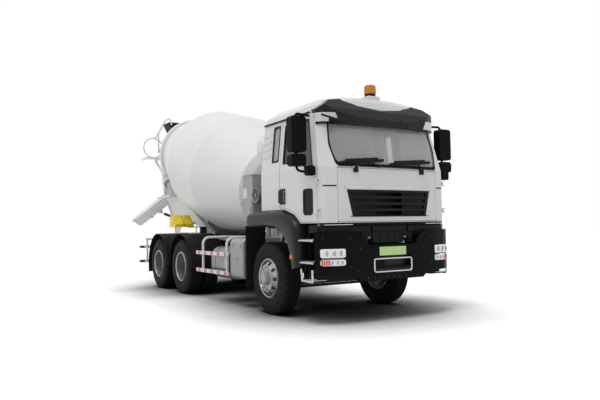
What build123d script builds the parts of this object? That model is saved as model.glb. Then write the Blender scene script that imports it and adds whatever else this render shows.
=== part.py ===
from build123d import *
import math
import os

os.makedirs("parts", exist_ok=True)

# A three-axle concrete mixer truck, in millimetres.
# +X is forward, +Y is the truck's left, +Z is up, and the ground is at Z = 0.
# The origin is on the ground below the middle of the truck's box.

# Overall sizes
overall_length = 9611.7
front_overhang = 1510
wheel_base = 3600
tandem_spread = 1400
overall_width = 2500
half_width = overall_width / 2

# Clearances
seat_gap = 0.3
running_gap = 0.05
door_gap = 6
moving_gap = 12

# Axles and wheels
front_axle_x = overall_length / 2 - front_overhang
mid_axle_x = front_axle_x - wheel_base
rear_axle_x = mid_axle_x - tandem_spread
tyre_radius = 542
tyre_half_width = 147.5
tread_half_width = 108
rim_seat_radius = 286
flange_radius = 298
rim_half_width = 126
rim_wall = 9
disc_offset = 168
disc_wall = 14
hand_holes = 10
hand_hole_radius = 29
hand_hole_circle = 222
front_wheel_y = 1024
dual_mid_y = 915
dual_spacing = 2 * disc_offset + 4
brake_drum_radius = 205
hub_radius = 105
spindle_radius = 46

# Ladder frame
rail_top = 1050
rail_height = 290
rail_flange = 85
rail_wall = 9
rail_outer_y = 430
frame_front_x = front_axle_x + 1330
frame_rear_x = front_axle_x - 6150

# Steering
kingpin_y = 770
kingpin_radius = 24
kingpin_eye_radius = 52
eye_half_height = 60
fork_wall = 36
tie_rod_back = 215
tie_rod_drop = 150

# Mixer drum: its axis climbs to the rear, and its sections are measured along that axis
drum_tilt = math.radians(14.8)
drum_front_x = front_axle_x - 1730
drum_front_z = 2018
front_cone_length = 1410
barrel_length = 1383
rear_cone_length = 2286
drum_radius = 1190
front_head_radius = 800
mouth_radius = 600
drum_wall = 12
head_depth = 240
ring_station = 4400
ring_radius = 842
ring_width = 100
roller_radius = 120
roller_width = 120
roller_angle = math.radians(38)
roller_shaft_radius = 30
roller_lug_reach = roller_width / 2 + 52

# Mixer frame
subframe_height = 100
subframe_top = rail_top + subframe_height
pedestal_y = 400
pedestal_plate = 16
pedestal_top_z = 2090

# Cab
cab_floor_z = 1352
cab_waist_z = 2100
cab_eaves_z = 2880
cab_roof_z = 3115
cab_half_width = 1140
cab_eaves_half_width = 1060
cab_rear_x = front_axle_x - 215
cab_front_x = front_axle_x + 1462
cab_eaves_front_x = front_axle_x + 1262
cab_front_bow = 42
cab_wall = 45
glass_inset = 10
glass_thickness = 8
door_front_x = front_axle_x + 1335
door_rear_x = front_axle_x + 350
cab_pivot_x = front_axle_x + 1370
cab_pivot_z = 1120
cab_pin_radius = 20
cab_eye_radius = 30
flap_hinge_z = 2090

# Discharge chute
chute_pivot_x = front_axle_x - 6950
chute_heading = math.radians(41)
chute_slope = math.radians(33)
chute_half_width = 200
chute_depth = 135
chute_wall = 8
chute_root = 130
chute_length = 1520
chute_rim_z = 2348
chute_hinge_z = chute_rim_z - chute_root * math.tan(chute_slope)
extension_length = 1000


def save(piece, label):
    """Names a finished piece and writes its file."""
    piece.part.label = label
    export_step(piece.part, f"parts/{label}.step")


def block(x, y, z, mode=Mode.ADD):
    """A block between low and high limits along each axis."""
    with Locations(((x[0] + x[1]) / 2, (y[0] + y[1]) / 2, (z[0] + z[1]) / 2)):
        Box(x[1] - x[0], y[1] - y[0], z[1] - z[0], mode=mode)


def profile_side(points, y_low, y_high, mode=Mode.ADD):
    """A side-view outline of (x, z) points, given its width between two Y limits."""
    with BuildSketch(Plane.XZ.offset(-y_low)) as outline:
        with BuildLine():
            Polyline(*points, close=True)
        make_face()
    extrude(outline.sketch, amount=-(y_high - y_low), mode=mode)


def profile_front(points, x_low, x_high, mode=Mode.ADD):
    """A front-view outline of (y, z) points, given its length between two X limits."""
    with BuildSketch(Plane.YZ.offset(x_low)) as outline:
        with BuildLine():
            Polyline(*points, close=True)
        make_face()
    extrude(outline.sketch, amount=x_high - x_low, mode=mode)


def profile_plan(points, z_low, z_high, mode=Mode.ADD):
    """A plan-view outline of (x, y) points, given its height between two Z limits."""
    with BuildSketch(Plane.XY.offset(z_low)) as outline:
        with BuildLine():
            Polyline(*points, close=True)
        make_face()
    extrude(outline.sketch, amount=z_high - z_low, mode=mode)


def tapered(rows, mode=Mode.ADD):
    """A straight-sided body through level rectangles of (z, x low, x high, y low, y high)."""
    sections = []
    for z, x_low, x_high, y_low, y_high in rows:
        with BuildSketch(Plane.XY.offset(z)) as section:
            with Locations(((x_low + x_high) / 2, (y_low + y_high) / 2)):
                Rectangle(x_high - x_low, y_high - y_low)
        sections.append(section.sketch)
    loft(sections, ruled=True, mode=mode)


def round_bar(start, end, radius, mode=Mode.ADD):
    """A straight round bar from one centre to another."""
    run = Vector(*end) - Vector(*start)
    with BuildSketch(Plane(origin=start, z_dir=run)) as section:
        Circle(radius)
    extrude(section.sketch, amount=run.length, mode=mode)


def bent_bar(points, bend, radius):
    """A round bar along straight runs that are joined by arcs of one bend radius."""
    with BuildLine() as route:
        FilletPolyline(*points, radius=bend)
    with BuildSketch(Plane(origin=route.line @ 0, z_dir=route.line % 0)) as section:
        Circle(radius)
    sweep(section.sketch, path=route.line)


def turned(points, origin, along, mode=Mode.ADD):
    """A body turned from (distance along the axis, radius) points."""
    upright = Vector(0, 0, 1) if abs(along[2]) < 0.9 else Vector(1, 0, 0)
    across = Vector(*along).cross(upright)
    with BuildSketch(Plane(origin=origin, x_dir=along, z_dir=across)) as section:
        with BuildLine():
            Polyline(*points, close=True)
        make_face()
    revolve(section.sketch, axis=Axis(origin, along), mode=mode)


# Frame rails with their crossmembers
crossmember_stations = (-1150, 1250, 2300, 3150, 4300, 5450, 6080)
with BuildPart() as frame_rails:
    for side in (-1, 1):
        outer = side * rail_outer_y
        web = side * (rail_outer_y - rail_wall)
        lip = side * (rail_outer_y - rail_flange)
        low = rail_top - rail_height
        channel = [
            (outer, low), (lip, low), (lip, low + rail_wall), (web, low + rail_wall),
            (web, rail_top - rail_wall), (lip, rail_top - rail_wall), (lip, rail_top), (outer, rail_top),
        ]
        profile_front(channel, frame_rear_x, frame_front_x)
    for station in crossmember_stations:
        middle = front_axle_x - station
        web_y = rail_outer_y - rail_wall
        block((middle - 60, middle + 60), (-web_y, web_y), (rail_top - 130, rail_top - 12))
        block(
            (middle - 50, middle + 61), (-web_y, web_y), (rail_top - 120, rail_top - 22), mode=Mode.SUBTRACT,
        )
save(frame_rails, "frame_rails")


# Wheels: the tyre is a closed ring, and the rim carries disc, hub and brake drum
tyre_section = [
    (rim_half_width - 19, rim_seat_radius + seat_gap),
    (rim_half_width - 19, flange_radius + 2),
    (rim_half_width + 6, flange_radius + 10),
    (tyre_half_width, 400),
    (tyre_half_width - 12, 495),
    (tread_half_width + 8, tyre_radius - 14),
    (tread_half_width, tyre_radius),
]
rim_section = [
    (-rim_half_width, flange_radius),
    (-rim_half_width + 13, flange_radius),
    (-rim_half_width + 18, rim_seat_radius),
    (rim_half_width - 18, rim_seat_radius),
    (rim_half_width - 13, flange_radius),
    (rim_half_width, flange_radius),
    (rim_half_width, flange_radius - rim_wall),
    (rim_half_width - 9, rim_seat_radius - rim_wall),
    (-rim_half_width + 9, rim_seat_radius - rim_wall),
    (-rim_half_width, flange_radius - rim_wall),
]


def tyre_ring(x, y):
    """The tyre's ring about its axle line, inside the current part."""
    mirrored = [(-along, radius) for along, radius in reversed(tyre_section)]
    turned(tyre_section + mirrored, (x, y, tyre_radius), (0, 1, 0))


def rim_with_disc(x, y, outward):
    """A rim barrel and the bolted disc whose hub face lies disc_offset towards outward."""
    turned(rim_section, (x, y, tyre_radius), (0, 1, 0))
    inner = rim_seat_radius - rim_wall
    disc = [
        (outward * 50, inner), (outward * 66, inner + 1), (outward * 128, 246), (outward * disc_offset, 204),
        (outward * disc_offset, hub_radius - 20), (outward * (disc_offset - disc_wall), hub_radius - 20),
        (outward * (disc_offset - disc_wall), 200), (outward * 116, 238), (outward * 50, inner - 12),
    ]
    turned(disc, (x, y, tyre_radius), (0, 1, 0))
    with BuildSketch(Plane.XZ.offset(-y - outward * 60)) as holes:
        with Locations((x, tyre_radius)):
            with PolarLocations(hand_hole_circle, hand_holes):
                Circle(hand_hole_radius)
    extrude(holes.sketch, amount=-outward * disc_offset, mode=Mode.SUBTRACT)


wheel_rows = []
for side, side_name in ((1, "left"), (-1, "right")):
    wheel_rows.append((f"front_{side_name}", front_axle_x, side, "single"))
    wheel_rows.append((f"mid_{side_name}", mid_axle_x, side, "dual"))
    wheel_rows.append((f"rear_{side_name}", rear_axle_x, side, "dual"))

front_hub_face = front_wheel_y + disc_offset
dual_outer_y = dual_mid_y + dual_spacing / 2
dual_inner_y = dual_mid_y - dual_spacing / 2
front_drum_inner = front_wheel_y - 140
dual_drum_inner = dual_inner_y - 120
for name, axle_x, side, kind in wheel_rows:
    with BuildPart() as tyre:
        if kind == "single":
            tyre_ring(axle_x, side * front_wheel_y)
        else:
            tyre_ring(axle_x, side * dual_outer_y)
            tyre_ring(axle_x, side * dual_inner_y)
    save(tyre, f"tyre_{name}")

    with BuildPart() as rim:
        if kind == "single":
            rim_with_disc(axle_x, side * front_wheel_y, side)
            hub = [
                (front_drum_inner, 60), (front_drum_inner, brake_drum_radius),
                (front_hub_face - 34, brake_drum_radius),
                (front_hub_face - disc_wall, 150), (front_hub_face - disc_wall, hub_radius),
                (front_hub_face + 34, hub_radius - 8), (front_hub_face + 42, 60), (front_hub_face + 42, 0),
                (front_hub_face - 40, 0), (front_hub_face - 40, spindle_radius + running_gap),
                (front_drum_inner, spindle_radius + running_gap),
            ]
        else:
            rim_with_disc(axle_x, side * dual_outer_y, -side)
            rim_with_disc(axle_x, side * dual_inner_y, side)
            hub = [
                (dual_drum_inner, 60), (dual_drum_inner, brake_drum_radius),
                (dual_mid_y - 60, brake_drum_radius),
                (dual_mid_y - 16, 150), (dual_mid_y - 16, hub_radius + 12), (dual_mid_y + 40, hub_radius + 8),
                (dual_mid_y + 190, hub_radius - 12), (dual_mid_y + 205, 70), (dual_mid_y + 205, 0),
                (dual_mid_y + 60, 0), (dual_mid_y + 60, spindle_radius + running_gap),
                (dual_drum_inner, spindle_radius + running_gap),
            ]
        turned([(side * along, radius) for along, radius in hub], (axle_x, 0, tyre_radius), (0, 1, 0))
    save(rim, f"rim_{name}")

# Steering knuckles: a fork round the beam's eye, the stub axle and the arms
arm_z = tyre_radius - tie_rod_drop
tie_pin_y = kingpin_y
fork_reach = kingpin_eye_radius + moving_gap
for side, side_name in ((1, "left"), (-1, "right")):
    with BuildPart() as knuckle:
        y_inner = side * (kingpin_y + fork_reach)
        y_outer = side * (front_drum_inner - 8)
        y_low, y_high = sorted((y_inner, y_outer))
        lug_low = tyre_radius - eye_half_height - moving_gap / 2 - fork_wall
        lug_high = tyre_radius + eye_half_height + moving_gap / 2 + fork_wall
        block((front_axle_x - 55, front_axle_x + 55), (y_low, y_high), (lug_low, lug_high))
        for lug_z in (lug_low, lug_high - fork_wall):
            with BuildSketch(Plane.XY.offset(lug_z)) as lug:
                with Locations((front_axle_x, side * kingpin_y)):
                    Circle(kingpin_eye_radius)
                with Locations((front_axle_x, side * (kingpin_y + fork_reach / 2 + 4))):
                    Rectangle(2 * kingpin_eye_radius, fork_reach + 8)
            extrude(lug.sketch, amount=fork_wall)
        round_bar(
            (front_axle_x, side * kingpin_y, lug_low),
            (front_axle_x, side * kingpin_y, lug_high), kingpin_radius,
        )
        spindle_start = (front_axle_x, y_outer - side * 6, tyre_radius)
        spindle_end = (front_axle_x, side * (front_hub_face - 44), tyre_radius)
        round_bar(spindle_start, spindle_end, spindle_radius)
        arm = [
            (front_axle_x + 45, side * (kingpin_y + 30)), (front_axle_x + 45, side * (kingpin_y - 34)),
            (front_axle_x - 60, side * (kingpin_y - 52)),
            (front_axle_x - tie_rod_back - 30, side * (tie_pin_y - 26)),
            (front_axle_x - tie_rod_back - 30, side * (tie_pin_y + 26)),
            (front_axle_x - 60, side * (kingpin_y + 30)),
        ]
        profile_plan(arm, arm_z, arm_z + 22)
        block(
            (front_axle_x - 40, front_axle_x + 40),
            sorted((side * (kingpin_y - 30), side * (kingpin_y + 30))),
            (arm_z + 20, lug_low + 2),
        )
    save(knuckle, f"knuckle_{side_name}")

with BuildPart() as tie_rod:
    tie_x = front_axle_x - tie_rod_back
    tie_z = arm_z - 34
    round_bar((tie_x, -tie_pin_y, tie_z), (tie_x, tie_pin_y, tie_z), 22)
    for side in (-1, 1):
        round_bar((tie_x, side * tie_pin_y, tie_z - 24), (tie_x, side * tie_pin_y, arm_z - seat_gap), 30)
save(tie_rod, "tie_rod")

# Front axle: a dropped I-beam with kingpin eyes, carried by two leaf packs
spring_y = 450
spring_half_width = 38
spring_seat_z = tyre_radius + 34
with BuildPart() as front_axle:
    beam_y = kingpin_y - kingpin_eye_radius + 6
    beam = [
        (-beam_y, tyre_radius - 50), (-beam_y + 120, tyre_radius - 130), (beam_y - 120, tyre_radius - 130),
        (beam_y, tyre_radius - 50), (beam_y, tyre_radius + 50), (beam_y - 70, tyre_radius + 50),
        (beam_y - 170, tyre_radius - 40),
        (spring_y - 80, tyre_radius - 40), (-spring_y + 80, tyre_radius - 40),
        (-beam_y + 170, tyre_radius - 40), (-beam_y + 70, tyre_radius + 50), (-beam_y, tyre_radius + 50),
    ]
    profile_front(beam, front_axle_x - 48, front_axle_x + 48)
    for side in (-1, 1):
        with BuildSketch(Plane.XY.offset(tyre_radius - eye_half_height)) as eye:
            with Locations((front_axle_x, side * kingpin_y)):
                Circle(kingpin_eye_radius)
        extrude(eye.sketch, amount=2 * eye_half_height)
        with BuildSketch(Plane.XY.offset(tyre_radius - eye_half_height - 1)) as pin_hole:
            with Locations((front_axle_x, side * kingpin_y)):
                Circle(kingpin_radius + running_gap)
        extrude(pin_hole.sketch, amount=2 * eye_half_height + 2, mode=Mode.SUBTRACT)
        y_low, y_high = side * spring_y - spring_half_width, side * spring_y + spring_half_width
        seat = [
            (front_axle_x - 75, tyre_radius - 60), (front_axle_x + 75, tyre_radius - 60),
            (front_axle_x + 75, spring_seat_z), (front_axle_x - 75, spring_seat_z),
        ]
        profile_side(seat, y_low, y_high)
        leaves = [
            (front_axle_x - 800, 712), (front_axle_x - 770, 690), (front_axle_x - 420, 628),
            (front_axle_x - 75, spring_seat_z - 2),
            (front_axle_x + 75, spring_seat_z - 2), (front_axle_x + 420, 628),
            (front_axle_x + 770, 690), (front_axle_x + 800, 712), (front_axle_x + 420, 654),
            (front_axle_x + 75, spring_seat_z + 66),
            (front_axle_x - 75, spring_seat_z + 66), (front_axle_x - 420, 654),
        ]
        profile_side(leaves, y_low, y_high)
        for hanger_x in (front_axle_x - 800, front_axle_x + 800):
            hanger = [(hanger_x - 45, 690), (hanger_x + 45, 690), (hanger_x + 70, 850), (hanger_x - 70, 850)]
            profile_side(
                hanger, side * (rail_outer_y + seat_gap + 30) - 30,
                side * (rail_outer_y + seat_gap + 30) + 30,
            )
save(front_axle, "front_axle")

# Engine and gearbox as one plain block between the rails
with BuildPart() as engine_block:
    engine_outline = [
        (front_axle_x + 1050, 700), (front_axle_x + 1050, 1240), (front_axle_x - 350, 1240),
        (front_axle_x - 650, 1080), (front_axle_x - 1130, 1000), (front_axle_x - 1130, 720),
        (front_axle_x - 350, 680),
    ]
    profile_side(engine_outline, -330, 330)
    for foot_x in (front_axle_x - 700, front_axle_x + 700):
        block(
            (foot_x - 50, foot_x + 50),
            (-rail_outer_y + rail_wall + seat_gap, rail_outer_y - rail_wall - seat_gap), (880, 960),
        )
save(engine_block, "engine_block")

# Drive axles: banjo housings with hub ends, differential noses and the shaft line
axle_tube_radius = 74
with BuildPart() as drive_axles:
    for axle_x in (mid_axle_x, rear_axle_x):
        origin = (axle_x, 0, tyre_radius)
        tube_end = dual_drum_inner - 6
        casing = [
            (-tube_end, 0), (-tube_end, axle_tube_radius), (-300, axle_tube_radius), (-170, 225), (170, 225),
            (300, axle_tube_radius), (tube_end, axle_tube_radius), (tube_end, 0),
        ]
        turned(casing, origin, (0, 1, 0))
        for side in (-1, 1):
            spindle = [
                (side * (tube_end - 10), 0), (side * (tube_end - 10), spindle_radius),
                (side * (dual_mid_y + 56), spindle_radius), (side * (dual_mid_y + 56), 0),
            ]
            turned(spindle, origin, (0, 1, 0))
        nose = [(0, 0), (0, 170), (260, 130), (330, 80), (400, 70), (400, 0)]
        turned(nose, (axle_x, 0, tyre_radius + 40), (1, 0, 0))
    round_bar((rear_axle_x + 395, 0, tyre_radius + 40), (mid_axle_x - 180, 0, tyre_radius + 40), 45)
    round_bar((mid_axle_x + 395, 0, tyre_radius + 40), (front_axle_x - 1145, 0, 840), 58)
save(drive_axles, "drive_axles")

# Bogie: inverted leaf packs on trunnions between the two drive axles
bogie_x = (mid_axle_x + rear_axle_x) / 2
bogie_y = 490
trunnion_z = 470
with BuildPart() as bogie_springs:
    for side in (-1, 1):
        y_low, y_high = side * bogie_y - 45, side * bogie_y + 45
        pack = [
            (rear_axle_x - 110, 640), (rear_axle_x + 100, 640), (bogie_x - 150, 690), (bogie_x + 150, 690),
            (mid_axle_x - 100, 640), (mid_axle_x + 110, 640), (mid_axle_x + 110, 672), (bogie_x + 150, 800),
            (bogie_x - 150, 800), (rear_axle_x - 110, 672),
        ]
        profile_side(pack, y_low, y_high)
        saddle = [
            (bogie_x - 130, trunnion_z - 70),
            (bogie_x + 130, trunnion_z - 70), (bogie_x + 190, 700), (bogie_x + 170, 850),
            (bogie_x - 170, 850), (bogie_x - 190, 700),
        ]
        profile_side(saddle, y_low + 6, y_high - 6)
        for axle_x in (mid_axle_x, rear_axle_x):
            pad_top = 642
            pad = [
                (axle_x - 70, tyre_radius + axle_tube_radius + seat_gap),
                (axle_x + 70, tyre_radius + axle_tube_radius + seat_gap),
                (axle_x + 90, pad_top), (axle_x - 90, pad_top),
            ]
            profile_side(pad, y_low, y_high)
        carrier = [
            (bogie_x - 130, trunnion_z - 90),
            (bogie_x + 130, trunnion_z - 90), (bogie_x + 230, rail_top - 40),
            (bogie_x - 230, rail_top - 40),
        ]
        inner = side * (rail_outer_y + seat_gap)
        profile_side(carrier, *sorted((inner, inner + side * 14)))
        round_bar(
            (bogie_x, side * (rail_outer_y + 5), trunnion_z),
            (bogie_x, side * (bogie_y + 50), trunnion_z), 58,
        )
    round_bar((bogie_x, -rail_outer_y - 10, trunnion_z), (bogie_x, rail_outer_y + 10, trunnion_z), 50)
save(bogie_springs, "bogie_springs")

# Front fenders: a deep arch shell over each front wheel and a mudguard behind it
fender_outer_y = half_width
fender_inner_y = 860
fender_skin = 14
mudguard_x = front_axle_x - 690
fender_crown = cab_floor_z + 190
outer_edge = [
    (mudguard_x, fender_crown - 20), (front_axle_x - 400, fender_crown), (front_axle_x + 480, fender_crown),
    (front_axle_x + 760, 1455), (front_axle_x + 930, 1325),
    (front_axle_x + 1000, 1090), (front_axle_x + 1010, 690),
]
arch_edge = [
    (front_axle_x + 812, 690), (front_axle_x + 780, 830),
    (front_axle_x + 690, 1020), (front_axle_x + 545, 1180),
    (front_axle_x + 330, 1290), (front_axle_x, 1325), (front_axle_x - 400, 1300), (mudguard_x, 1290),
]
inner_edge = [
    (mudguard_x, fender_crown - 20 - fender_skin), (front_axle_x - 400, fender_crown - fender_skin),
    (front_axle_x + 472, fender_crown - fender_skin), (front_axle_x + 748, 1442), (front_axle_x + 916, 1318),
    (front_axle_x + 985, 1088), (front_axle_x + 995, 690),
]
with BuildPart() as front_fenders:
    for side in (-1, 1):
        face = sorted((side * fender_outer_y, side * (fender_outer_y - fender_skin)))
        skin = sorted((side * fender_outer_y, side * fender_inner_y))
        profile_side(outer_edge + arch_edge, *face)
        profile_side(outer_edge + inner_edge[::-1], *skin)
        guard = [
            (mudguard_x, 330), (mudguard_x + fender_skin, 330), (mudguard_x + fender_skin, fender_crown - 30),
            (mudguard_x, fender_crown - 30),
        ]
        profile_side(guard, *skin)
        lip_y = sorted((side * (rail_outer_y + seat_gap), side * (fender_inner_y + 20)))
        for stay_x in (front_axle_x - 600, front_axle_x + 880):
            stay_z = 960
            stay_top = fender_crown - 60 if stay_x < front_axle_x else 1300
            block((stay_x - 30, stay_x + 30), lip_y, (stay_z, stay_z + 60))
            stay_end = sorted((side * (fender_inner_y - 20), side * (fender_inner_y + 20)))
            block((stay_x - 30, stay_x + 30), stay_end, (stay_z, stay_top))
save(front_fenders, "front_fenders")

# Front bumper: a swept steel-look shell with a notched top edge, lamp recesses and a step slot
bumper_front_x = front_axle_x + front_overhang
bumper_wall = 60
bumper_low = 650
bumper_top = 1236
notch_low = 1040
apron_low = 560
lamp_rows = (
    # bottom z, top z, inner y, outer y
    (930, 1010, 800, 1130),
    (815, 880, 815, 1120),
)
step_slot = (-150, 330, 742, 888)


def bumper_plan(inset):
    """Half-moon plan of the bumper, drawn in from its outer face by inset."""
    nose = bumper_front_x - inset
    edge = half_width - inset
    return [
        (bumper_front_x - 560, -edge), (bumper_front_x - 300, -edge), (bumper_front_x - 140, -edge + 90),
        (nose - 45, -edge + 240), (nose - 8, -700), (nose, -350), (nose, 350), (nose - 8, 700),
        (nose - 45, edge - 240), (bumper_front_x - 140, edge - 90), (bumper_front_x - 300, edge),
        (bumper_front_x - 560, edge),
    ]


with BuildPart() as front_bumper:
    profile_plan(bumper_plan(0), apron_low, bumper_top)
    profile_plan(bumper_plan(bumper_wall), apron_low - 1, bumper_top + 1, mode=Mode.SUBTRACT)
    block(
        (bumper_front_x - 561, bumper_front_x - 500),
        (-half_width - 1, half_width + 1), (apron_low - 1, bumper_top + 1),
        mode=Mode.SUBTRACT,
    )
    notch = [
        (-620, bumper_top + 1), (-500, bumper_top - 60),
        (-420, notch_low), (420, notch_low), (500, bumper_top - 60),
        (620, bumper_top + 1),
    ]
    profile_front(notch, bumper_front_x - 400, bumper_front_x + 1, mode=Mode.SUBTRACT)
    for side in (-1, 1):
        apron = [
            (side * (half_width + 1), apron_low - 1),
            (side * 560, apron_low - 1), (side * 640, bumper_low - 20),
            (side * 980, bumper_low), (side * (half_width + 1), bumper_low + 10),
        ]
        profile_front(apron, bumper_front_x - 600, bumper_front_x + 1, mode=Mode.SUBTRACT)
        for z_low, z_high, y_in, y_out in lamp_rows:
            y_low, y_high = sorted((side * y_in, side * y_out))
            block(
                (bumper_front_x - 240, bumper_front_x + 1),
                (y_low, y_high), (z_low, z_high), mode=Mode.SUBTRACT,
            )
    block((bumper_front_x - 100, bumper_front_x + 1), step_slot[:2], step_slot[2:], mode=Mode.SUBTRACT)
    for side in (-1, 1):
        bracket_y = sorted((side * (rail_outer_y - 80), side * rail_outer_y))
        block(
            (frame_front_x + seat_gap, bumper_front_x - bumper_wall + 5),
            bracket_y, (rail_top - 260, rail_top - 120),
        )
        upright_y = sorted((side * (rail_outer_y - 80), side * (rail_outer_y - 50)))
        block((cab_pivot_x - 28, cab_pivot_x + 28), upright_y, (rail_top - 125, cab_pivot_z + 28))
        pin_from = (cab_pivot_x, side * (rail_outer_y - 78), cab_pivot_z)
        pin_to = (cab_pivot_x, side * (rail_outer_y - 134), cab_pivot_z)
        round_bar(pin_from, pin_to, cab_pin_radius)
save(front_bumper, "front_bumper")

# Front lamps: a clear block that fills each bumper recess, following the bumper's plan
lamp_depth = 22
with BuildPart() as lamp_windows:
    for side in (-1, 1):
        for z_low, z_high, y_in, y_out in lamp_rows:
            y_low, y_high = sorted((side * (y_in + seat_gap), side * (y_out - seat_gap)))
            block(
                (bumper_front_x - 238, bumper_front_x),
                (y_low, y_high), (z_low + seat_gap, z_high - seat_gap),
            )
with BuildPart() as front_lamps:
    profile_plan(bumper_plan(4), lamp_rows[1][0] - 10, lamp_rows[0][1] + 10)
    profile_plan(bumper_plan(4 + lamp_depth), lamp_rows[1][0] - 11, lamp_rows[0][1] + 11, mode=Mode.SUBTRACT)
    lamp_low, lamp_high = lamp_rows[1][0] - 12, lamp_rows[0][1] + 12
    block((bumper_front_x - 600, bumper_front_x + 1), (-lamp_rows[0][2] + 20, lamp_rows[0][2] - 20),
          (lamp_low, lamp_high), mode=Mode.SUBTRACT)
    add(lamp_windows.part, mode=Mode.INTERSECT)
save(front_lamps, "front_lamps")

# Step irons: the pull-out tube step in the bumper and the cab steps behind the bumper's ends
step_y = cab_half_width - 10
cab_steps = (
    # z, back x, front x, depth inwards
    (1118, front_axle_x + 1035, front_axle_x + 1290, 250),
    (822, front_axle_x + 1035, front_axle_x + 1280, 250),
    (580, front_axle_x + 1060, front_axle_x + 1275, 200),
)
with BuildPart() as step_irons:
    tube_x = bumper_front_x - 22
    loop = [
        (tube_x, step_slot[0] + 20, step_slot[2] + 16), (tube_x, step_slot[0] + 20, step_slot[3] - 16),
        (tube_x, step_slot[1] - 20, step_slot[3] - 16), (tube_x, step_slot[1] - 20, step_slot[2] + 16),
    ]
    bent_bar(loop, 28, 12)
    block(
        (tube_x - 90, tube_x + 10), (step_slot[0] + 4, step_slot[1] - 4),
        (step_slot[2] + seat_gap, step_slot[2] + 20),
    )
    for side in (-1, 1):
        for z, back_x, front_x, depth in cab_steps:
            tread = sorted((side * step_y, side * (step_y - depth)))
            block((back_x, front_x), tread, (z - 14, z + 14))
        for back_x, front_x in (
            (front_axle_x + 1060, front_axle_x + 1080), (front_axle_x + 1255, front_axle_x + 1275),
        ):
            hanger = sorted((side * (step_y - 30), side * (step_y - 200)))
            block((back_x, front_x), hanger, (566, 1250))
        carrier = sorted((side * (rail_outer_y + seat_gap), side * (step_y - 190)))
        block((front_axle_x + 1085, front_axle_x + 1250), carrier, (880, 960))
        block(
            (front_axle_x + 1062, front_axle_x + 1273),
            sorted((side * (step_y - 210), side * (step_y - 180))), (800, 1140),
        )
save(step_irons, "step_irons")

# Rear fenders: a bent strip over each dual wheel, on stays from the frame
strip_radius = tyre_radius + 118
strip_skin = 8
strip_inner_y = 560
with BuildPart() as rear_fenders:
    for side in (-1, 1):
        for axle_x in (mid_axle_x, rear_axle_x):
            y_near = side * strip_inner_y
            width = half_width - strip_inner_y
            with BuildSketch(Plane.XZ.offset(-y_near)) as arch:
                with BuildLine():
                    for radius in (strip_radius, strip_radius - strip_skin):
                        ThreePointArc(
                            (axle_x - radius, tyre_radius),
                            (axle_x, tyre_radius + radius), (axle_x + radius, tyre_radius),
                        )
                    Line(
                        (axle_x - strip_radius, tyre_radius),
                        (axle_x - strip_radius + strip_skin, tyre_radius),
                    )
                    Line(
                        (axle_x + strip_radius, tyre_radius),
                        (axle_x + strip_radius - strip_skin, tyre_radius),
                    )
                make_face()
            extrude(arch.sketch, amount=-side * width)
            stay = sorted((side * (rail_outer_y + seat_gap), side * 1150))
            for lean in (-150, 150):
                stay_top = tyre_radius + math.sqrt((strip_radius - strip_skin) ** 2 - lean ** 2)
                block((axle_x + lean - 15, axle_x + lean + 15), stay, (stay_top - 40, stay_top + 5))
        flap_x = rear_axle_x - strip_radius
        block(
            (flap_x, flap_x + strip_skin),
            sorted((side * strip_inner_y, side * half_width)), (330, tyre_radius + 1),
        )
save(rear_fenders, "rear_fenders")

# Tanks: strapped fuel tank on the right, air reservoirs under the rear of the frame
tank_y = 820
tank_z = 690
tank_front_x = front_axle_x - 1480
tank_rear_x = front_axle_x - 2240
with BuildPart() as tanks:
    with BuildSketch(Plane.YZ.offset(tank_rear_x)) as tank_end:
        with Locations((-tank_y, tank_z)):
            RectangleRounded(620, 560, 190)
    extrude(tank_end.sketch, amount=tank_front_x - tank_rear_x)
    strap_stations = (tank_rear_x + 130, tank_front_x - 170)
    for strap_x in strap_stations:
        with BuildSketch(Plane.YZ.offset(strap_x)) as strap:
            with Locations((-tank_y, tank_z)):
                RectangleRounded(632, 572, 196)
        extrude(strap.sketch, amount=55)
        block(
            (strap_x - 10, strap_x + 65), (-rail_outer_y - 75, -rail_outer_y - seat_gap),
            (rail_top - 280, rail_top - 20),
        )
    for reservoir_x in (front_axle_x - 1480, front_axle_x - 1930, front_axle_x - 2380):
        origin = (reservoir_x, 640, 660)
        turned([(-190, 0), (-190, 70), (-165, 120), (165, 120), (190, 70), (190, 0)], origin, (1, 0, 0))
        block((reservoir_x - 60, reservoir_x + 60), (rail_outer_y + seat_gap, 620), (720, 860))
save(tanks, "tanks")

# Side boxes: the grey after-treatment box on the right and the battery box on the left
box_front_x = front_axle_x - 745
box_rear_x = front_axle_x - 1245
box_low = 481
box_top = 1125
box_outer_y = 1205
cooler_x = front_axle_x - 1290
with BuildPart() as equipment_boxes:
    right_box = [
        (-box_outer_y, box_low + 40), (-box_outer_y + 40, box_low), (-rail_outer_y - 90, box_low),
        (-rail_outer_y - 90, box_top), (-box_outer_y + 60, box_top), (-box_outer_y, box_top - 60),
    ]
    profile_front(right_box, box_rear_x, box_front_x)
    left_box = [
        (box_outer_y - 40, box_low + 120),
        (box_outer_y - 40, box_low + 520), (rail_outer_y + 90, box_low + 520),
        (rail_outer_y + 90, box_low + 120),
    ]
    profile_front(left_box, box_rear_x + 30, box_front_x - 20)
    for side in (-1, 1):
        block((box_rear_x + 60, box_rear_x + 260),
              sorted((side * (rail_outer_y + seat_gap), side * (rail_outer_y + 92))),
              (rail_top - 270, rail_top - 60))
    with BuildSketch(Plane.XY.offset(1400)) as cooler_plan:
        with Locations((cooler_x, -720)):
            RectangleRounded(360, 260, 18)
    extrude(cooler_plan.sketch, amount=800)
    block((cooler_x - 60, cooler_x + 60), (-600, -rail_outer_y - seat_gap), (1300, 1420))
    block((cooler_x - 60, cooler_x + 60), (-rail_outer_y - 40, -rail_outer_y - seat_gap), (1152, 1420))
save(equipment_boxes, "equipment_boxes")

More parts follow.
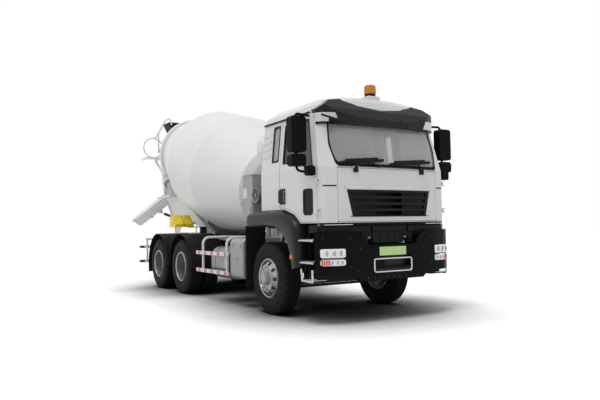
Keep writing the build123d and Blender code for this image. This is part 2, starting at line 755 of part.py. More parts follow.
# Side guards and rear underrun: white tube frames with the reflective rails bolted across them
guard_y = half_width - 6
guard_rear_x = front_axle_x - 2700
guard_front_x = front_axle_x - 1275
guard_rails_z = ((825, 890), (505, 570))
guard_posts = (front_axle_x - 2437, front_axle_x - 1380)
guard_top = 1135
underrun_x = frame_rear_x - 420
underrun_rails_z = ((840, 905), (490, 560))
with BuildPart() as guard_frames:
    for side in (-1, 1):
        face = sorted((side * guard_y, side * (guard_y - 14)))
        for z_low, z_high in guard_rails_z:
            block((guard_rear_x, guard_front_x), face, (z_low, z_high))
        post_y = side * (guard_y - 36)
        post_end_y = side * (rail_outer_y + 8 + seat_gap)
        for post_x in guard_posts:
            bent_bar(
                [(post_x, post_y, 500), (post_x, post_y, guard_top), (post_x, post_end_y, guard_top)], 120, 24,
            )
        saddle = sorted((side * 456, side * 480))
        block((guard_posts[0] - 60, guard_posts[1] + 60), saddle, (guard_top - 26, guard_top + 14))
        for z_low, z_high in underrun_rails_z:
            block((underrun_x - 14, underrun_x), sorted((side * 300, side * 1200)), (z_low, z_high))
        for post_y in (side * 430, side * 1010):
            round_bar((underrun_x + 22, post_y, 488), (underrun_x + 22, post_y, 1080), 24)
        round_bar((underrun_x + 22, side * 380, 1060), (underrun_x + 22, side * 1040, 1060), 24)
        strut_y = sorted((side * 360, side * 400))
        block((underrun_x - 1, frame_rear_x - seat_gap), strut_y, (1000, 1048))
        block((underrun_x - 1, underrun_x + 46), strut_y, (1040, 1080))
    for z_low, z_high in underrun_rails_z:
        block((underrun_x - 14, underrun_x), (-301, 301), (z_low, z_high))
save(guard_frames, "guard_frames")

# Tail lamps on their bar below the frame's end
with BuildPart() as tail_lamps:
    for side in (-1, 1):
        lamp_y = sorted((side * 520, side * 900))
        with BuildSketch(Plane.YZ.offset(underrun_x + seat_gap)) as lens:
            with Locations(((lamp_y[0] + lamp_y[1]) / 2, 705)):
                RectangleRounded(380, 120, 24)
        extrude(lens.sketch, amount=60)
        block((underrun_x + 50, underrun_x + 76), sorted((side * 415, side * 900)), (680, 730))
        block((underrun_x + 46 + seat_gap, underrun_x + 76), sorted((side * 415, side * 445)), (680, 730))
save(tail_lamps, "tail_lamps")

# Mixer subframe: two box rails on the ladder frame with cross ties and outriggers
subframe_rear_x = frame_rear_x
subframe_front_x = front_axle_x - 620
with BuildPart() as mixer_subframe:
    for side in (-1, 1):
        rail = sorted((side * rail_outer_y, side * (rail_outer_y - 80)))
        block((subframe_rear_x, subframe_front_x), rail, (rail_top, subframe_top))
        ear = sorted((side * rail_outer_y, side * (rail_outer_y + 8)))
        for ear_x in (
            front_axle_x - 700, front_axle_x - 1380,
            front_axle_x - 2437, front_axle_x - 3600, front_axle_x - 5550,
        ):
            block((ear_x - 60, ear_x + 60), ear, (rail_top - 60, subframe_top - 10))
    for tie_x in (front_axle_x - 1000, front_axle_x - 2300, front_axle_x - 4300, front_axle_x - 5200):
        block(
            (tie_x - 40, tie_x + 40), (-rail_outer_y + 70, rail_outer_y - 70), (rail_top + 10, rail_top + 60),
        )
save(mixer_subframe, "mixer_subframe")


def drum_point(station, below=0, aside=0):
    """A point at a station of the drum's axis, moved square to the axis and sideways."""
    return (
        drum_front_x - station * math.cos(drum_tilt) - below * math.sin(drum_tilt),
        aside,
        drum_front_z + station * math.sin(drum_tilt) - below * math.cos(drum_tilt),
    )


# Drum: a turned shell, open at the mouth, with its track ring and drive flange
drum_axis = (-math.cos(drum_tilt), 0, math.sin(drum_tilt))
barrel_start = front_cone_length
barrel_end = front_cone_length + barrel_length
mouth_station = barrel_end + rear_cone_length
rear_slope = (drum_radius - mouth_radius) / rear_cone_length
cone_at_ring = drum_radius - (ring_station - barrel_end) * rear_slope
flange_face = -head_depth - 70
drum_outer = [
    (flange_face, 0), (flange_face, 190), (-head_depth - 30, 190), (-head_depth - 20, 260),
    (-head_depth * 0.86, 430), (-head_depth * 0.45, 660), (0, front_head_radius), (barrel_start, drum_radius),
    (barrel_end, drum_radius), (ring_station - ring_width / 2, cone_at_ring + ring_width / 2 * rear_slope),
    (ring_station - ring_width / 2, ring_radius), (ring_station + ring_width / 2, ring_radius),
    (ring_station + ring_width / 2, cone_at_ring - ring_width / 2 * rear_slope),
    (mouth_station - 40, mouth_radius + 10),
    (mouth_station - 40, mouth_radius + 30), (mouth_station, mouth_radius + 30),
]
drum_inner = [
    (mouth_station, mouth_radius - drum_wall), (barrel_end, drum_radius - drum_wall),
    (barrel_start, drum_radius - drum_wall),
    (10, front_head_radius - drum_wall), (-head_depth * 0.45 + 12, 650),
    (-head_depth * 0.86 + 12, 420), (-head_depth + 5, 0),
]
with BuildPart() as drum:
    turned(drum_outer + drum_inner, drum_point(0), drum_axis)
save(drum, "drum")

# Drum drive: reducer and hydraulic motor on the drum's axis
gearbox_end = flange_face - 520
motor_end = gearbox_end - 230
with BuildPart() as drum_gearbox:
    casing = [
        (flange_face - seat_gap, 0), (flange_face - seat_gap, 170),
        (flange_face - 60, 170), (flange_face - 60, 235),
        (flange_face - 300, 235), (flange_face - 330, 180), (gearbox_end, 165), (gearbox_end, 95),
        (motor_end, 95), (motor_end, 0),
    ]
    turned(casing, drum_point(0), drum_axis)
save(drum_gearbox, "drum_gearbox")

# Front pedestal: a plate tower that carries the reducer on an inclined saddle
saddle_mid = drum_point(flange_face - 180)
with BuildPart() as front_pedestal:
    tower_front_x = saddle_mid[0] + 190
    tower_rear_x = saddle_mid[0] - 130
    saddle_under = saddle_mid[2] - 250
    tower = [
        (tower_rear_x - 180, subframe_top),
        (tower_front_x + 150, subframe_top), (tower_front_x, saddle_under),
        (tower_rear_x, saddle_under + 320 * math.tan(drum_tilt)),
    ]
    for side in (-1, 1):
        profile_side(tower, *sorted((side * 340, side * 356)))
    front_face = [(-420, subframe_top), (420, subframe_top), (340, saddle_under), (-340, saddle_under)]
    profile_front(front_face, tower_front_x - 16, tower_front_x)
    block(
        (tower_rear_x - 180, tower_front_x + 150),
        (-rail_outer_y, rail_outer_y), (subframe_top, subframe_top + 16),
    )
    cheek = [
        (tower_rear_x + 30, saddle_under - 100),
        (tower_front_x, saddle_under - 100), (tower_front_x, saddle_mid[2] + 40),
        (tower_rear_x + 30, saddle_mid[2] + 125),
    ]
    profile_side(cheek, -356, 356)
    bore = [
        (flange_face + 5, 0), (flange_face + 5, 235 + seat_gap),
        (gearbox_end - 200, 235 + seat_gap), (gearbox_end - 200, 0),
    ]
    turned(bore, drum_point(0), drum_axis, mode=Mode.SUBTRACT)
save(front_pedestal, "front_pedestal")

# Water tank across the top of the front pedestal, on two legs
water_x = front_axle_x - 850
water_z = 2640
water_radius = 285
water_half = 830
with BuildPart() as water_tank:
    shell = [
        (-water_half, 0), (-water_half, 90), (-water_half + 50, 200), (-water_half + 130, water_radius),
        (water_half - 130, water_radius), (water_half - 50, 200), (water_half, 90), (water_half, 0),
    ]
    turned(shell, (water_x, 0, water_z), (0, 1, 0))
    for side in (-1, 1):
        leg_y = sorted((side * (rail_outer_y - 15), side * (rail_outer_y - 75)))
        block((water_x - 40, water_x + 40), leg_y, (subframe_top + seat_gap, water_z - 100))
        saddle_pad = [
            (water_x - 190, water_z - 150), (water_x + 190, water_z - 150),
            (water_x + 60, water_z - 420), (water_x - 60, water_z - 420),
        ]
        profile_side(saddle_pad, *leg_y)
save(water_tank, "water_tank")

# Rear pedestal: two sloping side plates with a roller table
roller_offset = ring_radius + roller_radius + seat_gap
roller_below = roller_offset * math.cos(roller_angle)
roller_aside = roller_offset * math.sin(roller_angle)
with BuildPart() as rear_pedestal:
    table_rear_x = front_axle_x - 6830
    table_front_x = front_axle_x - 5885
    chute_notch = 440
    corner_cut = 25
    outline = [
        (frame_rear_x, subframe_top), (frame_rear_x - 90, 1400), (table_rear_x, pedestal_top_z - 60),
        (table_rear_x, pedestal_top_z - corner_cut), (table_rear_x + corner_cut, pedestal_top_z),
        (table_front_x, pedestal_top_z), (front_axle_x - 3900, 1225), (front_axle_x - 3650, subframe_top),
    ]
    window = [
        (front_axle_x - 5950, subframe_top + 60), (front_axle_x - 5700, 1590), (front_axle_x - 5350, 1590),
        (front_axle_x - 4300, subframe_top + 60),
    ]
    for side in (-1, 1):
        plate = sorted((side * (pedestal_y - pedestal_plate), side * pedestal_y))
        rim_edge = sorted((side * (pedestal_y - 70), side * (pedestal_y + 30)))
        profile_side(outline, *plate)
        profile_side(
            window, *sorted((side * (pedestal_y - 90), side * (pedestal_y + 50))), mode=Mode.SUBTRACT,
        )
        front_leg = [
            (table_front_x, pedestal_top_z),
            (front_axle_x - 3900, 1225), (front_axle_x - 3900, 1225 - pedestal_plate),
            (table_front_x, pedestal_top_z - pedestal_plate),
        ]
        profile_side(front_leg, *rim_edge)
        rear_leg = [
            (frame_rear_x, subframe_top), (frame_rear_x - 90, 1400), (table_rear_x, pedestal_top_z - 60),
            (table_rear_x + pedestal_plate, pedestal_top_z - 60), (frame_rear_x - 90 + pedestal_plate, 1400),
            (frame_rear_x + pedestal_plate, subframe_top),
        ]
        profile_side(rear_leg, *rim_edge)
    block((table_rear_x, table_front_x + 20), (-660, 660), (pedestal_top_z - 16, pedestal_top_z + 20))
    notch_x = (table_rear_x - 1, chute_pivot_x + 345)
    block(
        notch_x, (-chute_notch, chute_notch), (pedestal_top_z - 17, pedestal_top_z + 21), mode=Mode.SUBTRACT,
    )
    for side in (-1, 1):
        for reach in (-roller_lug_reach, roller_lug_reach):
            lug_mid = drum_point(ring_station + reach, below=roller_below)
            lug = [
                (side * (roller_aside - 120), pedestal_top_z + 10),
                (side * (roller_aside + 66), pedestal_top_z + 10),
                (side * (roller_aside + 55), lug_mid[2] + 45), (side * (roller_aside - 55), lug_mid[2] + 45),
            ]
            profile_front(lug, lug_mid[0] - 8, lug_mid[0] + 8)
        shaft_low = drum_point(
            ring_station + roller_lug_reach + 20, below=roller_below, aside=side * roller_aside,
        )
        shaft_high = drum_point(
            ring_station - roller_lug_reach - 20, below=roller_below, aside=side * roller_aside,
        )
        round_bar(shaft_low, shaft_high, roller_shaft_radius)
    for bracket_x, bracket_z in ((front_axle_x - 6250, 1445), (table_rear_x + 100, 1915)):
        block(
            (bracket_x - 40, bracket_x + 30),
            (-pedestal_y + 5, pedestal_y - 5), (bracket_z - 40, bracket_z + 40),
        )
        arm = [(bracket_x, -180), (bracket_x, 180), (chute_pivot_x, 95), (chute_pivot_x, -95)]
        profile_plan(arm, bracket_z - 30, bracket_z + 30)
        eye_start = (chute_pivot_x, 0, bracket_z - 30)
        round_bar(eye_start, (chute_pivot_x, 0, bracket_z + 30), 95)
        round_bar(
            (chute_pivot_x, 0, bracket_z - 31),
            (chute_pivot_x, 0, bracket_z + 31), 60 + running_gap, mode=Mode.SUBTRACT,
        )
save(rear_pedestal, "rear_pedestal")

# Support rollers below the track ring
for side, side_name in ((1, "left"), (-1, "right")):
    with BuildPart() as roller:
        centre = drum_point(ring_station, below=roller_below, aside=side * roller_aside)
        wheel = [
            (-roller_width / 2, roller_shaft_radius + running_gap), (-roller_width / 2, roller_radius),
            (roller_width / 2, roller_radius), (roller_width / 2, roller_shaft_radius + running_gap),
        ]
        turned(wheel, centre, drum_axis)
    save(roller, f"roller_{side_name}")

# Discharge collector: a funnel below the drum's mouth, over the chute's swivel line
collector_skin = 6
funnel_rows = (
    # z, x low, x high, y low, y high
    (2430, chute_pivot_x - 110, chute_pivot_x + 110, -110, 110),
    (2510, chute_pivot_x - 110, chute_pivot_x + 110, -110, 110),
    (2640, chute_pivot_x - 230, chute_pivot_x + 190, -420, 420),
)
with BuildPart() as discharge_collector:
    tapered(funnel_rows)
    wing = [
        (chute_pivot_x - 230, 2640), (chute_pivot_x + 90, 2640),
        (chute_pivot_x + 150, 2930), (chute_pivot_x - 230, 2930),
    ]
    profile_side(wing, -420, 420)
    bore_rows = [
        (
            row[0], row[1] + collector_skin,
            row[2] - collector_skin, row[3] + collector_skin, row[4] - collector_skin,
        )
        for row in funnel_rows
    ]
    tapered(bore_rows, mode=Mode.SUBTRACT)
    wing_hollow = [
        (chute_pivot_x - 230 + collector_skin, 2639),
        (chute_pivot_x + 190, 2639), (chute_pivot_x + 190, 2931),
        (chute_pivot_x - 230 + collector_skin, 2931),
    ]
    profile_side(wing_hollow, -420 + collector_skin, 420 - collector_skin, mode=Mode.SUBTRACT)
    for side in (-1, 1):
        tab = sorted((side * 418, side * (470 - seat_gap)))
        block((chute_pivot_x - 10, chute_pivot_x + 40), tab, (2760, 2860))
save(discharge_collector, "discharge_collector")

# Rear portal: leaning posts from the roller table up to the work platform with its ladder
post_y = 500
post_foot_x = front_axle_x - 6650
post_top_x = front_axle_x - 7000
post_top_z = 3350
platform_z = 3160
platform_rear_x = front_axle_x - 7500
platform_front_x = front_axle_x - 7120
ladder_y = 640
ladder_stiles = (platform_rear_x + 15, platform_front_x - 15)
ladder_low = 1000
ladder_rung_pitch = 300
with BuildPart() as rear_portal:
    for side in (-1, 1):
        post = [
            (post_foot_x + 60, pedestal_top_z + 20 + seat_gap),
            (post_top_x + 60, post_top_z), (post_top_x - 60, post_top_z),
            (post_foot_x - 60, pedestal_top_z + 20 + seat_gap),
        ]
        profile_side(post, *sorted((side * (post_y - 30), side * (post_y + 30))))
        bearer = sorted((side * (post_y - 20), side * (post_y + 20)))
        block((platform_rear_x, post_top_x + 20), bearer, (platform_z - 70, platform_z - 10))
        strut = [
            (platform_rear_x + 40, platform_z - 60),
            (platform_rear_x + 100, platform_z - 60), (post_top_x + 190, 2700),
            (post_top_x + 130, 2700),
        ]
        profile_side(strut, *bearer)
    block((post_top_x - 60, post_top_x + 60), (-post_y - 30, post_y + 30), (post_top_z - 60, post_top_z + 40))
    block((platform_rear_x, platform_front_x), (-850, 640), (platform_z - 20, platform_z))
    for edge_y in (-850, 620):
        block((platform_rear_x, platform_front_x), (edge_y, edge_y + 20), (platform_z - 60, platform_z))
    loop_x = platform_rear_x + 180
    loop_points = []
    for turn in range(0, 13):
        angle = math.radians(-90 + turn * 30)
        loop_points.append((loop_x, -600 + 260 * math.cos(angle), platform_z + 270 + 260 * math.sin(angle)))
    for start, end in zip(loop_points[:-1], loop_points[1:]):
        round_bar(start, end, 16)
    grab = [
        (loop_x, -560, platform_z + 520),
        (post_top_x + 60, -560, platform_z + 640), (post_top_x + 430, -540, 4010),
        (post_top_x + 760, -520, 4060), (post_top_x + 760, -470, 3880),
    ]
    bent_bar(grab, 60, 18)
    block((post_top_x - 60, post_top_x + 20), (-574, -post_y - 29), (3280, 3330))
    round_bar((post_top_x - 20, -555, 3300), (post_top_x - 20, -560, 3778), 16)
    for stile_x in ladder_stiles:
        stile = [
            (stile_x, ladder_y, ladder_low), (stile_x, ladder_y, platform_z + 760),
            (stile_x, ladder_y - 260, platform_z + 760),
        ]
        bent_bar(stile, 60, 20)
    rung_z = ladder_low + 60
    while rung_z < platform_z:
        round_bar((ladder_stiles[0], ladder_y, rung_z), (ladder_stiles[1], ladder_y, rung_z), 14)
        rung_z += ladder_rung_pitch
save(rear_portal, "rear_portal")

# Feed hopper: a black funnel above the mouth with its spout inside the drum
hopper_skin = 6
hopper_rows = (
    # z, x low, x high, y low, y high
    (3330, front_axle_x - 6640, front_axle_x - 6470, -150, 150),
    (3620, front_axle_x - 6960, front_axle_x - 6605, -260, 260),
    (4000, front_axle_x - 7000, front_axle_x - 6530, -440, 440),
)
with BuildPart() as feed_hopper:
    tapered(hopper_rows)
    hollow_rows = [
        (row[0], row[1] + hopper_skin, row[2] - hopper_skin, row[3] + hopper_skin, row[4] - hopper_skin)
        for row in hopper_rows
    ]
    tapered(hollow_rows, mode=Mode.SUBTRACT)
    beam_top = post_top_z + 40 + seat_gap
    for side in (-1, 1):
        arm = [(side * 250, 3610), (side * 480, beam_top), (side * 520, beam_top), (side * 330, 3760)]
        profile_front(arm, post_top_x + 44, post_top_x + 56)
save(feed_hopper, "feed_hopper")

# Wheel chocks in a carrier on the right of the rear pedestal
chock_x = front_axle_x - 4450
with BuildPart() as wheel_chocks:
    for start_y in (-1150, -940):
        wedge = [
            (chock_x, 1350), (chock_x + 350, 1350), (chock_x + 350, 1400),
            (chock_x + 110, 1590), (chock_x + 40, 1590), (chock_x, 1520),
        ]
        profile_side(wedge, start_y, start_y + 195)
    block((chock_x - 15, chock_x + 365), (-1160, -735), (1336, 1350))
    block((chock_x + 120, chock_x + 220), (-800, -pedestal_y - seat_gap), (1322, 1336))
    block((chock_x + 120, chock_x + 220), (-520, -pedestal_y - seat_gap), (1182, 1336))
save(wheel_chocks, "wheel_chocks")


def chute_point(along, above=0, aside=0):
    """A point of the parked chute: along its slope, square above its rim plane, and sideways."""
    flat = along * math.cos(chute_slope) + above * math.sin(chute_slope)
    return (
        chute_pivot_x - flat * math.cos(chute_heading) + aside * math.sin(chute_heading),
        -flat * math.sin(chute_heading) - aside * math.cos(chute_heading),
        chute_rim_z - along * math.sin(chute_slope) + above * math.cos(chute_slope),
    )


chute_down = (
    -math.cos(chute_slope) * math.cos(chute_heading), -math.cos(chute_slope) * math.sin(chute_heading),
    -math.sin(chute_slope),
)
chute_across = (math.sin(chute_heading), -math.cos(chute_heading), 0)
chute_lip = 26


def trough(start, end, flip):
    """An arc-section trough between two places along the slope, opening up, or down where flip is -1."""
    plane = Plane(origin=chute_point(start, above=0), x_dir=chute_across, z_dir=chute_down)
    deep = -flip * chute_depth
    base = -flip * seat_gap / 2
    with BuildSketch(plane) as section:
        with BuildLine():
            ThreePointArc((-chute_half_width, base), (0, deep), (chute_half_width, base))
            Polyline(
                (chute_half_width, base), (chute_half_width + chute_lip, base),
                (chute_half_width + chute_lip, base - flip * chute_wall),
                (chute_half_width, base - flip * chute_wall * 1.5),
            )
            ThreePointArc(
                (chute_half_width, base - flip * chute_wall * 1.5), (0, deep - flip * chute_wall),
                (-chute_half_width, base - flip * chute_wall * 1.5),
            )
            Polyline(
                (-chute_half_width, base - flip * chute_wall * 1.5),
                (-chute_half_width - chute_lip, base - flip * chute_wall),
                (-chute_half_width - chute_lip, base),
                (-chute_half_width, base),
            )
        make_face()
    extrude(section.sketch, amount=end - start)


# Chute swivel: a column in the pedestal's bearings with the yoke and the jack's foot
swivel_radius = 60
swivel_foot_z = 1400
yoke_z = 1985
chute_hinge_along = chute_root / math.cos(chute_slope)
jack_foot = (150, 1580)
jack_eye_along = 835
jack_eye_below = chute_depth + chute_wall + 40
with BuildPart() as chute_swivel:
    turned(
        [(swivel_foot_z, 0), (swivel_foot_z, swivel_radius), (yoke_z - 20, swivel_radius), (yoke_z - 20, 0)],
        (chute_pivot_x, 0, 0), (0, 0, 1),
    )
    yoke_plane = Plane(
        origin=(chute_pivot_x, 0, 0), x_dir=(-math.cos(chute_heading), -math.sin(chute_heading), 0),
        z_dir=(0, 0, 1),
    )
    with BuildSketch(yoke_plane.offset(yoke_z - 20)) as yoke_plate:
        Rectangle(160, 560)
        with Locations((chute_root - 20, 0)):
            Rectangle(160, 560)
    extrude(yoke_plate.sketch, amount=20)
    for side in (-1, 1):
        with BuildSketch(yoke_plane.offset(yoke_z - 1)) as yoke_arm:
            with Locations((chute_root, side * 265)):
                Rectangle(90, 24)
        extrude(yoke_arm.sketch, amount=chute_hinge_z + 45 - yoke_z)
    pin_start = chute_point(chute_hinge_along, aside=-280)
    pin_end = chute_point(chute_hinge_along, aside=280)
    inner_start = chute_point(chute_hinge_along, aside=-chute_half_width - chute_lip - 2)
    inner_end = chute_point(chute_hinge_along, aside=chute_half_width + chute_lip + 2)
    round_bar(pin_start, inner_start, 18)
    round_bar(pin_end, inner_end, 18)
    foot_plane = yoke_plane.offset(jack_foot[1] - 45)
    for side in (-1, 1):
        with BuildSketch(foot_plane) as foot_lug:
            with Locations((jack_foot[0] / 2 + 20, side * 44)):
                Rectangle(jack_foot[0] + 40, 14)
        extrude(foot_lug.sketch, amount=90)
    foot_start = (
        chute_pivot_x - jack_foot[0] * math.cos(chute_heading) - 50 * math.sin(chute_heading),
        -jack_foot[0] * math.sin(chute_heading) + 50 * math.cos(chute_heading), jack_foot[1],
    )
    foot_end = (
        chute_pivot_x - jack_foot[0] * math.cos(chute_heading) + 50 * math.sin(chute_heading),
        -jack_foot[0] * math.sin(chute_heading) - 50 * math.cos(chute_heading), jack_foot[1],
    )
    round_bar(foot_start, foot_end, 16)
save(chute_swivel, "chute_swivel")


def chute_plate(aside, outline, mode=Mode.ADD):
    """A plate square to the chute's width: aside gives its two faces, outline its (along, above) points."""
    plane = Plane(origin=chute_point(0, aside=aside[0]), x_dir=chute_down, z_dir=chute_across)
    with BuildSketch(plane) as plate:
        with BuildLine():
            Polyline(*[(along, -above) for along, above in outline], close=True)
        make_face()
    extrude(plate.sketch, amount=aside[1] - aside[0], mode=mode)


# Chute: the main trough with its hinge ears, the jack's lugs and the extension's hinge
chute_edge = chute_half_width + chute_lip
ear_low, ear_high = chute_hinge_along - 40, chute_hinge_along + 40
jack_lug_y = 44
lug_reach = 22
with BuildPart() as chute:
    trough(0, chute_length - seat_gap, 1)
    for side in (-1, 1):
        ear = [
            (ear_low, -60), (ear_high, -60), (ear_high, 10),
            (ear_high - 20, 38), (ear_low + 20, 38), (ear_low, 10),
        ]
        chute_plate(sorted((side * (chute_edge - 2), side * (chute_edge + 16))), ear)
        bore_start = chute_point(chute_hinge_along, aside=side * (chute_edge + 1))
        bore_end = chute_point(chute_hinge_along, aside=side * (chute_edge + 17))
        round_bar(bore_start, bore_end, 18 + running_gap, mode=Mode.SUBTRACT)
        jack_lug = [
            (jack_eye_along - 60, -chute_depth - 4), (jack_eye_along + 60, -chute_depth - 4),
            (jack_eye_along + 25, -jack_eye_below - 25), (jack_eye_along - 25, -jack_eye_below - 25),
        ]
        chute_plate(sorted((side * (jack_lug_y - 6), side * (jack_lug_y + 6))), jack_lug)
        lug = [
            (chute_length + lug_reach, -lug_reach), (chute_length + lug_reach, lug_reach),
            (chute_length - lug_reach, lug_reach), (chute_length - lug_reach, -lug_reach),
        ]
        chute_plate(sorted((side * (chute_edge + seat_gap), side * (chute_edge + 12))), lug)
        bridge = [
            (chute_length - 60, -24),
            (chute_length - 5, -24), (chute_length - 5, -4), (chute_length - 60, -4),
        ]
        chute_plate(sorted((side * (chute_half_width + 16), side * (chute_edge + 12))), bridge)
        pin_from = chute_point(chute_length, aside=side * (chute_edge + 1))
        pin_to = chute_point(chute_length, aside=side * (chute_edge + 34))
        round_bar(pin_from, pin_to, 9)
    for brace_along in (360, 1120):
        brace = [
            (brace_along - 20, -chute_depth * 0.6), (brace_along + 20, -chute_depth * 0.6),
            (brace_along + 20, -chute_depth - 30), (brace_along - 20, -chute_depth - 30),
        ]
        chute_plate((-70, 70), brace)
        chute_plate((-30, 30), [(brace_along - 21, -chute_depth + 2), (brace_along + 21, -chute_depth + 2),
                                (brace_along + 21, 0), (brace_along - 21, 0)], mode=Mode.SUBTRACT)
save(chute, "chute")

# Chute extension: the same trough laid upside down on the main one, hinged at the lower end
with BuildPart() as chute_extension:
    trough(chute_length - extension_length, chute_length - seat_gap, -1)
    for side in (-1, 1):
        lug = [
            (chute_length - 80, seat_gap),
            (chute_length - 30, seat_gap), (chute_length - lug_reach, -lug_reach),
            (chute_length + lug_reach, -lug_reach),
            (chute_length + lug_reach, lug_reach), (chute_length - 80, lug_reach),
        ]
        chute_plate(sorted((side * (chute_edge + 14), side * (chute_edge + 28))), lug)
        bridge = [
            (chute_length - 80, seat_gap), (chute_length - 34, seat_gap), (chute_length - 34, lug_reach),
            (chute_length - 80, lug_reach),
        ]
        chute_plate(sorted((side * (chute_edge - 8), side * (chute_edge + 28))), bridge)
        bore_from = chute_point(chute_length, aside=side * (chute_edge + 12.5))
        bore_to = chute_point(chute_length, aside=side * (chute_edge + 29))
        round_bar(bore_from, bore_to, 9 + running_gap, mode=Mode.SUBTRACT)
save(chute_extension, "chute_extension")

# Chute jack: barrel on the swivel's foot, rod up to the chute's lugs
jack_barrel_length = 345
jack_rod_length = 347
jack_low = Vector(
    chute_pivot_x - jack_foot[0] * math.cos(chute_heading),
    -jack_foot[0] * math.sin(chute_heading), jack_foot[1],
)
jack_high = Vector(*chute_point(jack_eye_along, above=-jack_eye_below))
jack_line = jack_high - jack_low
jack_way = jack_line.normalized()
with BuildPart() as chute_jack_barrel:
    eye_from = jack_low - Vector(*chute_across) * 34
    eye_to = jack_low + Vector(*chute_across) * 34
    round_bar(tuple(eye_from), tuple(eye_to), 32)
    turned(
        [(24, 0), (24, 34), (jack_barrel_length, 34), (jack_barrel_length, 0)],
        tuple(jack_low), tuple(jack_way),
    )
    bore = [
        (38, 0), (38, 18 + running_gap), (jack_barrel_length + 1, 18 + running_gap),
        (jack_barrel_length + 1, 0),
    ]
    turned(bore, tuple(jack_low), tuple(jack_way), mode=Mode.SUBTRACT)
    bore_from = jack_low - Vector(*chute_across) * 35
    bore_to = jack_low + Vector(*chute_across) * 35
    round_bar(tuple(bore_from), tuple(bore_to), 16 + running_gap, mode=Mode.SUBTRACT)
save(chute_jack_barrel, "chute_jack_barrel")

with BuildPart() as chute_jack_rod:
    eye_from = jack_high - Vector(*chute_across) * 34
    eye_to = jack_high + Vector(*chute_across) * 34
    round_bar(tuple(eye_from), tuple(eye_to), 26)
    rod_from = jack_line.length - jack_rod_length
    turned(
        [(rod_from, 0), (rod_from, 18), (jack_line.length, 18), (jack_line.length, 0)],
        tuple(jack_low), tuple(jack_way),
    )
save(chute_jack_rod, "chute_jack_rod")


# Cab: the body is drawn as level plans, upright to the waist and leaning in above it
def cab_plan(z, rear_x, front_x, half, inset=0):
    """A level plan of the cab at height z: rounded front corners and a bowed front face."""
    nose = front_x - inset
    edge = half - inset
    tail = rear_x + inset
    right = [
        (tail, -edge), (nose - 172, -edge),
        (nose - 112, -edge + 25), (nose - 42, -edge + 100), (nose, -edge + 250),
    ]
    with BuildSketch(Plane.XY.offset(z)) as plan:
        with BuildLine():
            Polyline(*right)
            ThreePointArc((nose, -edge + 250), (nose + cab_front_bow, 0), (nose, edge - 250))
            Polyline(*[(x, -y) for x, y in reversed(right)])
            Line((tail, edge), (tail, -edge))
        make_face()
    return plan.sketch


def cab_body(inset, low, mode=Mode.ADD):
    """The cab's closed body up to the eaves, drawn in by inset on its sides."""
    lower = [
        cab_plan(low, cab_rear_x, cab_front_x, cab_half_width, inset),
        cab_plan(cab_waist_z, cab_rear_x, cab_front_x, cab_half_width, inset),
    ]
    upper = [
        cab_plan(cab_waist_z, cab_rear_x, cab_front_x, cab_half_width, inset),
        cab_plan(cab_eaves_z, cab_rear_x, cab_eaves_front_x, cab_eaves_half_width, inset),
    ]
    loft(lower, ruled=True, mode=mode)
    loft(upper, ruled=True, mode=mode)


def fender_cut(rise):
    """The side view of what the fenders take out of the cab, raised by rise."""
    return [
        (cab_rear_x - 1, cab_floor_z - 1),
        (cab_rear_x - 1, fender_crown + rise), (front_axle_x + 488, fender_crown + rise),
        (front_axle_x + 776, 1455 + rise),
        (front_axle_x + 776 + (1456 + rise - cab_floor_z) / 0.765, cab_floor_z - 1),
    ]


cab_clear = 14
hinge_pin_radius = 8
hinge_knuckle_radius = 18
hinge_height = 70
hinge_leaf = 16
door_hinge_stations = (1480, 1880)
flap_pin = (front_axle_x + 1500, flap_hinge_z)
flap_pin_radius = 6
flap_knuckle_radius = 12
flap_hinge_y = 600
flap_hinge_half = 40
flap_leaf = 15
flap_half_width = 885
flap_top_z = flap_hinge_z
flap_low_z = 1361
screen_outline = [(-890, 2128), (890, 2128), (945, 2400), (905, 2790), (-905, 2790), (-945, 2400)]
grille_outline = [(-657, 1427), (657, 1427), (743, 1796), (-743, 1796)]
door_inner_y = cab_half_width - cab_wall + 1
door_rear_gap = 13
door_top_z = cab_eaves_z - 14
door_top_front_x = front_axle_x + 1140
door_outline = [
    (door_rear_x, fender_crown + cab_clear + 12), (front_axle_x + 492, fender_crown + cab_clear + 12),
    (front_axle_x + 786, 1455 + cab_clear + 12),
    (front_axle_x + 952, 1362), (door_front_x, 1362), (door_front_x, 2100),
    (door_top_front_x, door_top_z), (door_rear_x, door_top_z),
]
door_upper = [
    (door_rear_x, cab_waist_z), (door_front_x, cab_waist_z),
    (door_top_front_x, door_top_z), (door_rear_x, door_top_z),
]
door_window = [
    (front_axle_x + 440, 2215), (front_axle_x + 900, 2215),
    (front_axle_x + 1060, 2110), (front_axle_x + 1262, 2085),
    (front_axle_x + 1085, 2780), (front_axle_x + 440, 2780),
]
quarter_window = [
    (front_axle_x + 105, 2269), (front_axle_x + 300, 2269),
    (front_axle_x + 300, 2800), (front_axle_x + 105, 2800),
]
kerb_window = [
    (front_axle_x + 1022, 1472), (front_axle_x + 1240, 1472),
    (front_axle_x + 1240, 1807), (front_axle_x + 1022, 1807),
]


def inset_outline(points, inset):
    """A convex or nearly convex outline moved towards its middle by about inset on each side."""
    middle_u = (min(u for u, v in points) + max(u for u, v in points)) / 2
    middle_v = (min(v for u, v in points) + max(v for u, v in points)) / 2
    reach_u = (max(u for u, v in points) - min(u for u, v in points)) / 2
    reach_v = (max(v for u, v in points) - min(v for u, v in points)) / 2
    moved = []
    for u, v in points:
        moved.append(
            (middle_u + (u - middle_u) * (1 - inset / reach_u),
            middle_v + (v - middle_v) * (1 - inset / reach_v)),
        )
    return moved


